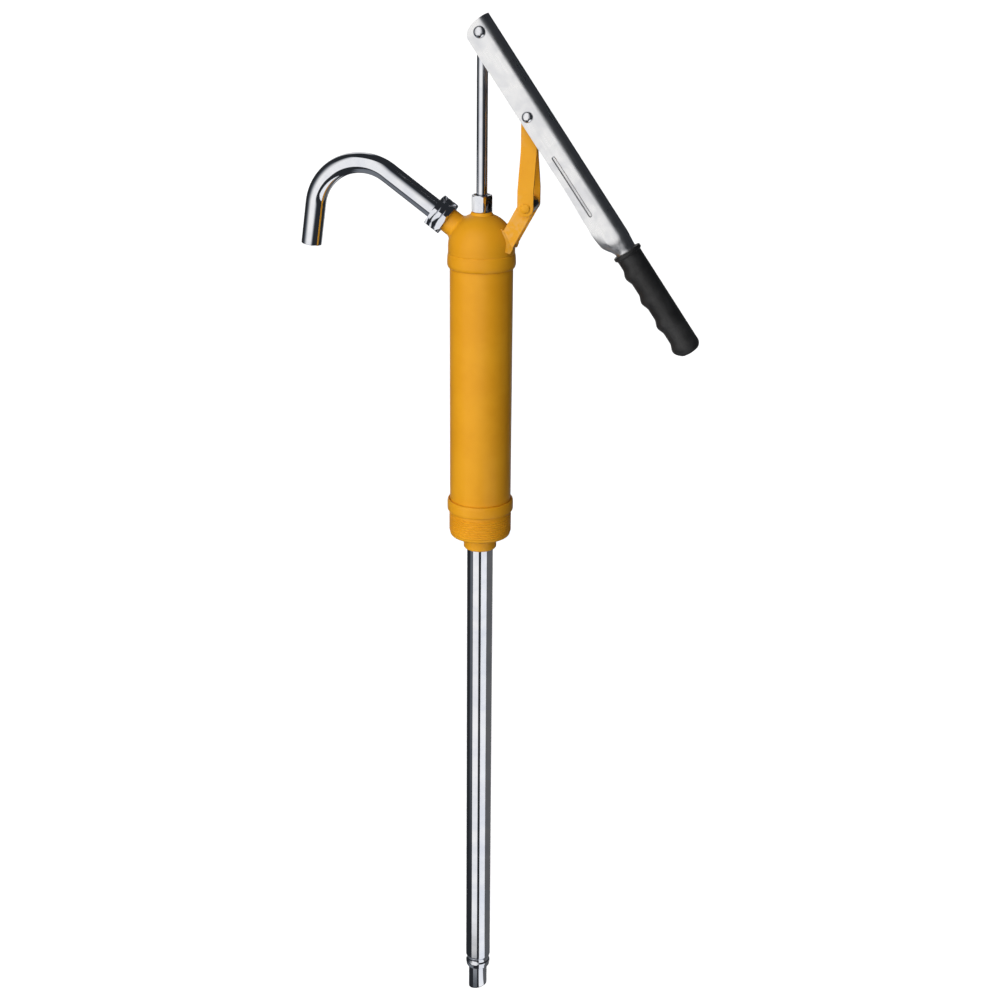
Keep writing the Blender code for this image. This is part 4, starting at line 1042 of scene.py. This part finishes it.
def grip_radius(angle, radius, x):
    """The grip's outer radius, with a mould line along each side. angle is 0 away from
    the web, where the finger ridges are."""
    if radius < LEVER_TUBE_R + 0.0006:
        return radius
    near, far = GRIP_FLANGE_STEP
    flange = 1 - smooth_step(near, far, x - GRIP[0])
    radius = GRIP_R + (GRIP_FLANGE_R - GRIP_R) * flange
    facing = max(0.0, math.cos(angle)) ** 1.5
    for middle in GRIP_BUMPS:
        close = max(0.0, 1 - abs(x - middle) / GRIP_BUMP_REACH)
        radius += GRIP_BUMP * math.sin(close * math.pi / 2) ** 2 * facing
    left = (GRIP[1] - x) / GRIP_END[0]
    if left < 1:
        radius -= GRIP_END[1] * (1 - math.sqrt(max(0.0, 1 - (1 - left) ** 2)))
    lip = (x - GRIP[0]) / GRIP_LIP
    if lip < 1:
        radius -= GRIP_LIP * (1 - math.sqrt(max(0.0, 1 - (1 - lip) ** 2)))
    seam = abs(math.degrees(angle) % 180 - 90)
    return radius + (GRIP_SEAM if seam < 1.0 and left > 1 and lip > 1 else 0.0)


def grip():
    """The rubber sleeve over the lever's tube, closed at its far end."""
    start, end = GRIP
    body, shoulder = start + GRIP_FLANGE_PART, end - GRIP_END[0]
    along = steps(start, body, 22) + steps(body, shoulder, 150)[1:]
    along += [end - GRIP_END[0] * math.cos(math.radians(a)) for a in steps(0, 90, 20)[1:]]
    outside = [(GRIP_R, x) for x in along]
    bore = LEVER_TUBE_R + GAP
    floor = LEVER_TUBE[1] + 0.0005
    profile = [(0.0, floor), (bore, floor), (bore, start + 0.0006), (bore + 0.0005, start)]
    profile += outside + [(0.0, end)]

    def where(radius, angle, x):
        centre = LEVER_TUBE_Z if radius <= bore + 0.0006 and x < floor + 0.0001 else GRIP_Z
        return (x, radius * math.sin(angle), centre - radius * math.cos(angle))

    made = turned("lever_handgrip", profile, LEVER_PLACE, 180, grip_radius, where)
    piece(made, "lever", RUBBER, "rubber", "lever_grip", crease=40)


# ---------------------------------------- link straps


def strap(name, side, node):
    """A pressed strap with round ends, bent from the lever's middle out to the ears."""
    length = PIVOT_B.z - PIVOT_C.z
    radius, half = STRAP_WIDTH / 2, STRAP_THICK / 2
    low, high = STRAP_BENDS
    path = rounded(
        [
            (STRAP_LOWER_Y, -radius),
            (STRAP_LOWER_Y, low, STRAP_BEND),
            (STRAP_UPPER_Y, high, STRAP_BEND),
            (STRAP_UPPER_Y, length + radius),
        ],
        count=8,
    )
    points = [Vector(p) for p in path]
    ends = [radius * (1 - math.cos(math.radians(a))) for a in steps(6, 90, 14)]
    straight = points[1:-1]
    line = [Vector((STRAP_LOWER_Y, e - radius)) for e in ends] + straight
    line += [Vector((STRAP_UPPER_Y, length + radius - e)) for e in reversed(ends)]
    rows = []
    for i, here in enumerate(line):
        along = (line[min(i + 1, len(line) - 1)] - line[max(i - 1, 0)]).normalized()
        beyond = max(-here.y, here.y - length, 0.0)
        wide = math.sqrt(max(0.0, radius**2 - beyond**2))
        corners = ((wide, half), (-wide, half), (-wide, -half), (wide, -half))
        section = rounded([(*corner, STRAP_EDGE) for corner in corners], closed=True, count=3)
        rows.append([(x, here.x + along.y * t, here.y - along.x * t) for x, t in section])
    turn = Matrix.Diagonal((1.0, side, 1.0, 1.0))
    made = lofted(name, rows, Matrix.Translation(PIVOT_C) @ turn)
    piece(made, "link", PAINT, "paint", node, crease=35)


# ---------------------------------------- the whole pump

head()
barrel()
gland()
union()
ear("ear_front", -1, "bracket_ear_front")
ear("ear_rear", 1, "bracket_ear_rear")
spout()
adapter()
suction()
rod()
pins()
lever()
grip()
strap("strap_front", -1, "link_strap_front")
strap("strap_rear", 1, "link_strap_rear")

for node, obj in frame["nodes"].items():
    if obj.hide_render:
        continue
    slot_name = next(p["material_slot"] for p in frame["record"]["subparts"] if p["node"] == node)
    obj.data.materials.clear()
    obj.data.materials.append(INSIDE[slot_name])

# ---------------------------------------- stage, light and camera


FLOOR_SIZE = 60.0
FLOOR_GLOW = 0.75
BACKGROUND = 1.05
CARDS = (
    # azimuth, reach from the pump's axis, strength
    ((24.0, 76.0), (0.0150, 1.45), 1.05),
    ((76.0, 165.0), (0.0150, 1.45), 0.13),
)
GLEAMS = (
    # azimuth, its softness, height, its softness, strength
    ((-50.0, 3.0), 1.5, (-35.5, -17.0), 1.5, 1.04),
    ((-54.0, 16.0), 20.0, (-17.0, 60.0), 2.0, 1.04),
    ((-80.0, -52.0), 10.0, (-30.0, 40.0), 5.0, 0.13),
    ((-150.0, -40.0), 8.0, (-75.0, -42.0), 5.0, 0.20),
    ((158.0, 176.0), 5.0, (-60.0, -12.0), 5.0, 0.60),
    ((-170.0, -142.0), 6.0, (-36.0, 50.0), 6.0, 0.80),
)
GLEAM_BASE = 0.032
SOFTBOXES = (
    ((-60.0, 30.0), 10.0, (-26.0, 58.0), 8.0, 1.86),
    ((-176.0, -122.0), 10.0, (-40.0, 40.0), 8.0, 1.25),
)
SOFTBOX_BASE = 0.085
CAMERA_TARGET = Vector((0.01952, 0.0, 0.01003))
CAMERA_DISTANCE = 1.63504
CAMERA_ANGLES = (12.5, 20.5, 0.55)  # turned to the side, above the pump, and rolled


def floor():
    """A pale sheet, low enough for the suction tube drawn out to its full reach."""
    level = CAD_BOX[0][2] - joint("suction_tube_slide")["range_m"][1] - 0.0050
    size = FLOOR_SIZE
    corners = [(-size, -size), (size, -size), (size, size), (-size, size)]
    mesh = bpy.data.meshes.new("floor")
    mesh.from_pydata([(x, y, level) for x, y in corners], [], [(0, 1, 2, 3)])
    obj = bpy.data.objects.new("floor", mesh)
    bpy.context.scene.collection.objects.link(obj)
    f = Finish("studio_floor")
    f.colour(f.blend(f.noise(3.0, 2.0), (0.90, 0.90, 0.90), (0.86, 0.86, 0.87)))
    f.fixed(Roughness=0.9, Emission_Color=(1.0, 1.0, 1.0, 1.0), Emission_Strength=FLOOR_GLOW)
    obj.data.materials.append(f.material)
    obj.visible_glossy = False
    obj.visible_diffuse = False


def card(name, azimuth, reach, strength):
    """A sheet level with the pump's foot, which only the chrome sees, as a table top is seen."""
    angles = [math.radians(a) for a in steps(*azimuth, 12)]
    verts = [(r * math.sin(a), -r * math.cos(a), 0.0) for r in reach for a in angles]
    count = len(angles)
    faces = [(i, i + 1, count + i + 1, count + i) for i in range(count - 1)]
    mesh = bpy.data.meshes.new(name)
    mesh.from_pydata(verts, [], faces)
    obj = bpy.data.objects.new(name, mesh)
    obj.location.z = CAD_BOX[0][2] - 0.0005
    bpy.context.scene.collection.objects.link(obj)
    f = Finish(name)
    f.fixed(Base_Color=(0.0, 0.0, 0.0, 1.0), Roughness=1.0)
    f.fixed(Emission_Color=(0.97, 0.98, 1.0, 1.0), Emission_Strength=strength)
    obj.data.materials.append(f.material)
    obj.visible_camera = obj.visible_diffuse = obj.visible_shadow = False


class Sky(Finish):
    """The studio round the pump: soft boxes of light placed by direction. Angles are in
    degrees, azimuth 0 towards -Y and growing towards +X."""

    def __init__(self):
        world = bpy.data.worlds.new("studio")
        bpy.context.scene.world = world
        world.use_nodes = True
        self.tree = world.node_tree
        self.back = self.tree.nodes["Background"]
        place = self.node("ShaderNodeTexCoord").outputs["Generated"]
        split = self.node("ShaderNodeSeparateXYZ")
        self.join(place, split.inputs["Vector"])
        x, y, z = (split.outputs[i] for i in range(3))
        forward = self.maths("MULTIPLY", y, -1.0)
        self.azimuth = self.maths("MULTIPLY", self.maths("ARCTAN2", x, forward), 180 / math.pi)
        self.height = self.maths("MULTIPLY", self.maths("ARCSINE", z, 0.0), 180 / math.pi)

    def window(self, value, low, high, soft):
        rise = self.ranged(value, low - soft, low + soft, 0.0, 1.0)
        fall = self.ranged(value, high - soft, high + soft, 1.0, 0.0)
        return self.maths("MULTIPLY", rise, fall)

    def panel(self, azimuth, azimuth_soft, height, height_soft, strength):
        a = self.window(self.azimuth, *azimuth, azimuth_soft)
        h = self.window(self.height, *height, height_soft)
        return self.maths("MULTIPLY", self.maths("MULTIPLY", a, h), strength)


def studio():
    sky = Sky()

    def total(panels, base):
        light = base
        for panel in panels:
            light = sky.maths("ADD", sky.panel(*panel), light)
        return light

    def pick(share, a, b):
        kept = sky.maths("MULTIPLY", a, sky.maths("SUBTRACT", 1.0, share))
        return sky.maths("ADD", kept, sky.maths("MULTIPLY", b, share))

    path = sky.node("ShaderNodeLightPath")
    seen = total(GLEAMS, GLEAM_BASE)
    seen = pick(path.outputs["Is Diffuse Ray"], seen, total(SOFTBOXES, SOFTBOX_BASE))
    seen = pick(path.outputs["Is Camera Ray"], seen, BACKGROUND)
    sky.join(seen, sky.back.inputs["Strength"])
    tint = sky.blend(sky.ranged(seen, 0.04, 0.60, 0.0, 1.0), (0.80, 0.88, 1.0), (1.0, 0.99, 0.975))
    sky.join(tint, sky.back.inputs["Color"])


def camera():
    """Looks down a little on the pump from the front, with all of it in the frame."""
    turn, lift, roll = (math.radians(a) for a in CAMERA_ANGLES)
    level = Vector((math.cos(turn), math.sin(turn), 0.0))
    forward = Vector((-math.sin(turn), math.cos(turn), 0.0))
    back = Vector((0.0, 0.0, math.sin(lift))) - forward * math.cos(lift)
    upright = back.cross(level)
    right = level * math.cos(roll) + upright * math.sin(roll)
    up = upright * math.cos(roll) - level * math.sin(roll)
    data = bpy.data.cameras.new("camera")
    data.lens = 61.2
    data.sensor_width = 36.0
    data.clip_end = 200.0
    obj = bpy.data.objects.new("camera", data)
    bpy.context.scene.collection.objects.link(obj)
    facing = Matrix((right, up, back)).transposed().to_4x4()
    obj.matrix_world = Matrix.Translation(CAMERA_TARGET + back * CAMERA_DISTANCE) @ facing
    bpy.context.scene.camera = obj


floor()
for number, sheet in enumerate(CARDS):
    card(f"floor_card_{number}", *sheet)
studio()
camera()
bpy.context.scene.view_settings.view_transform = "Standard"

bpy.context.view_layer.update()
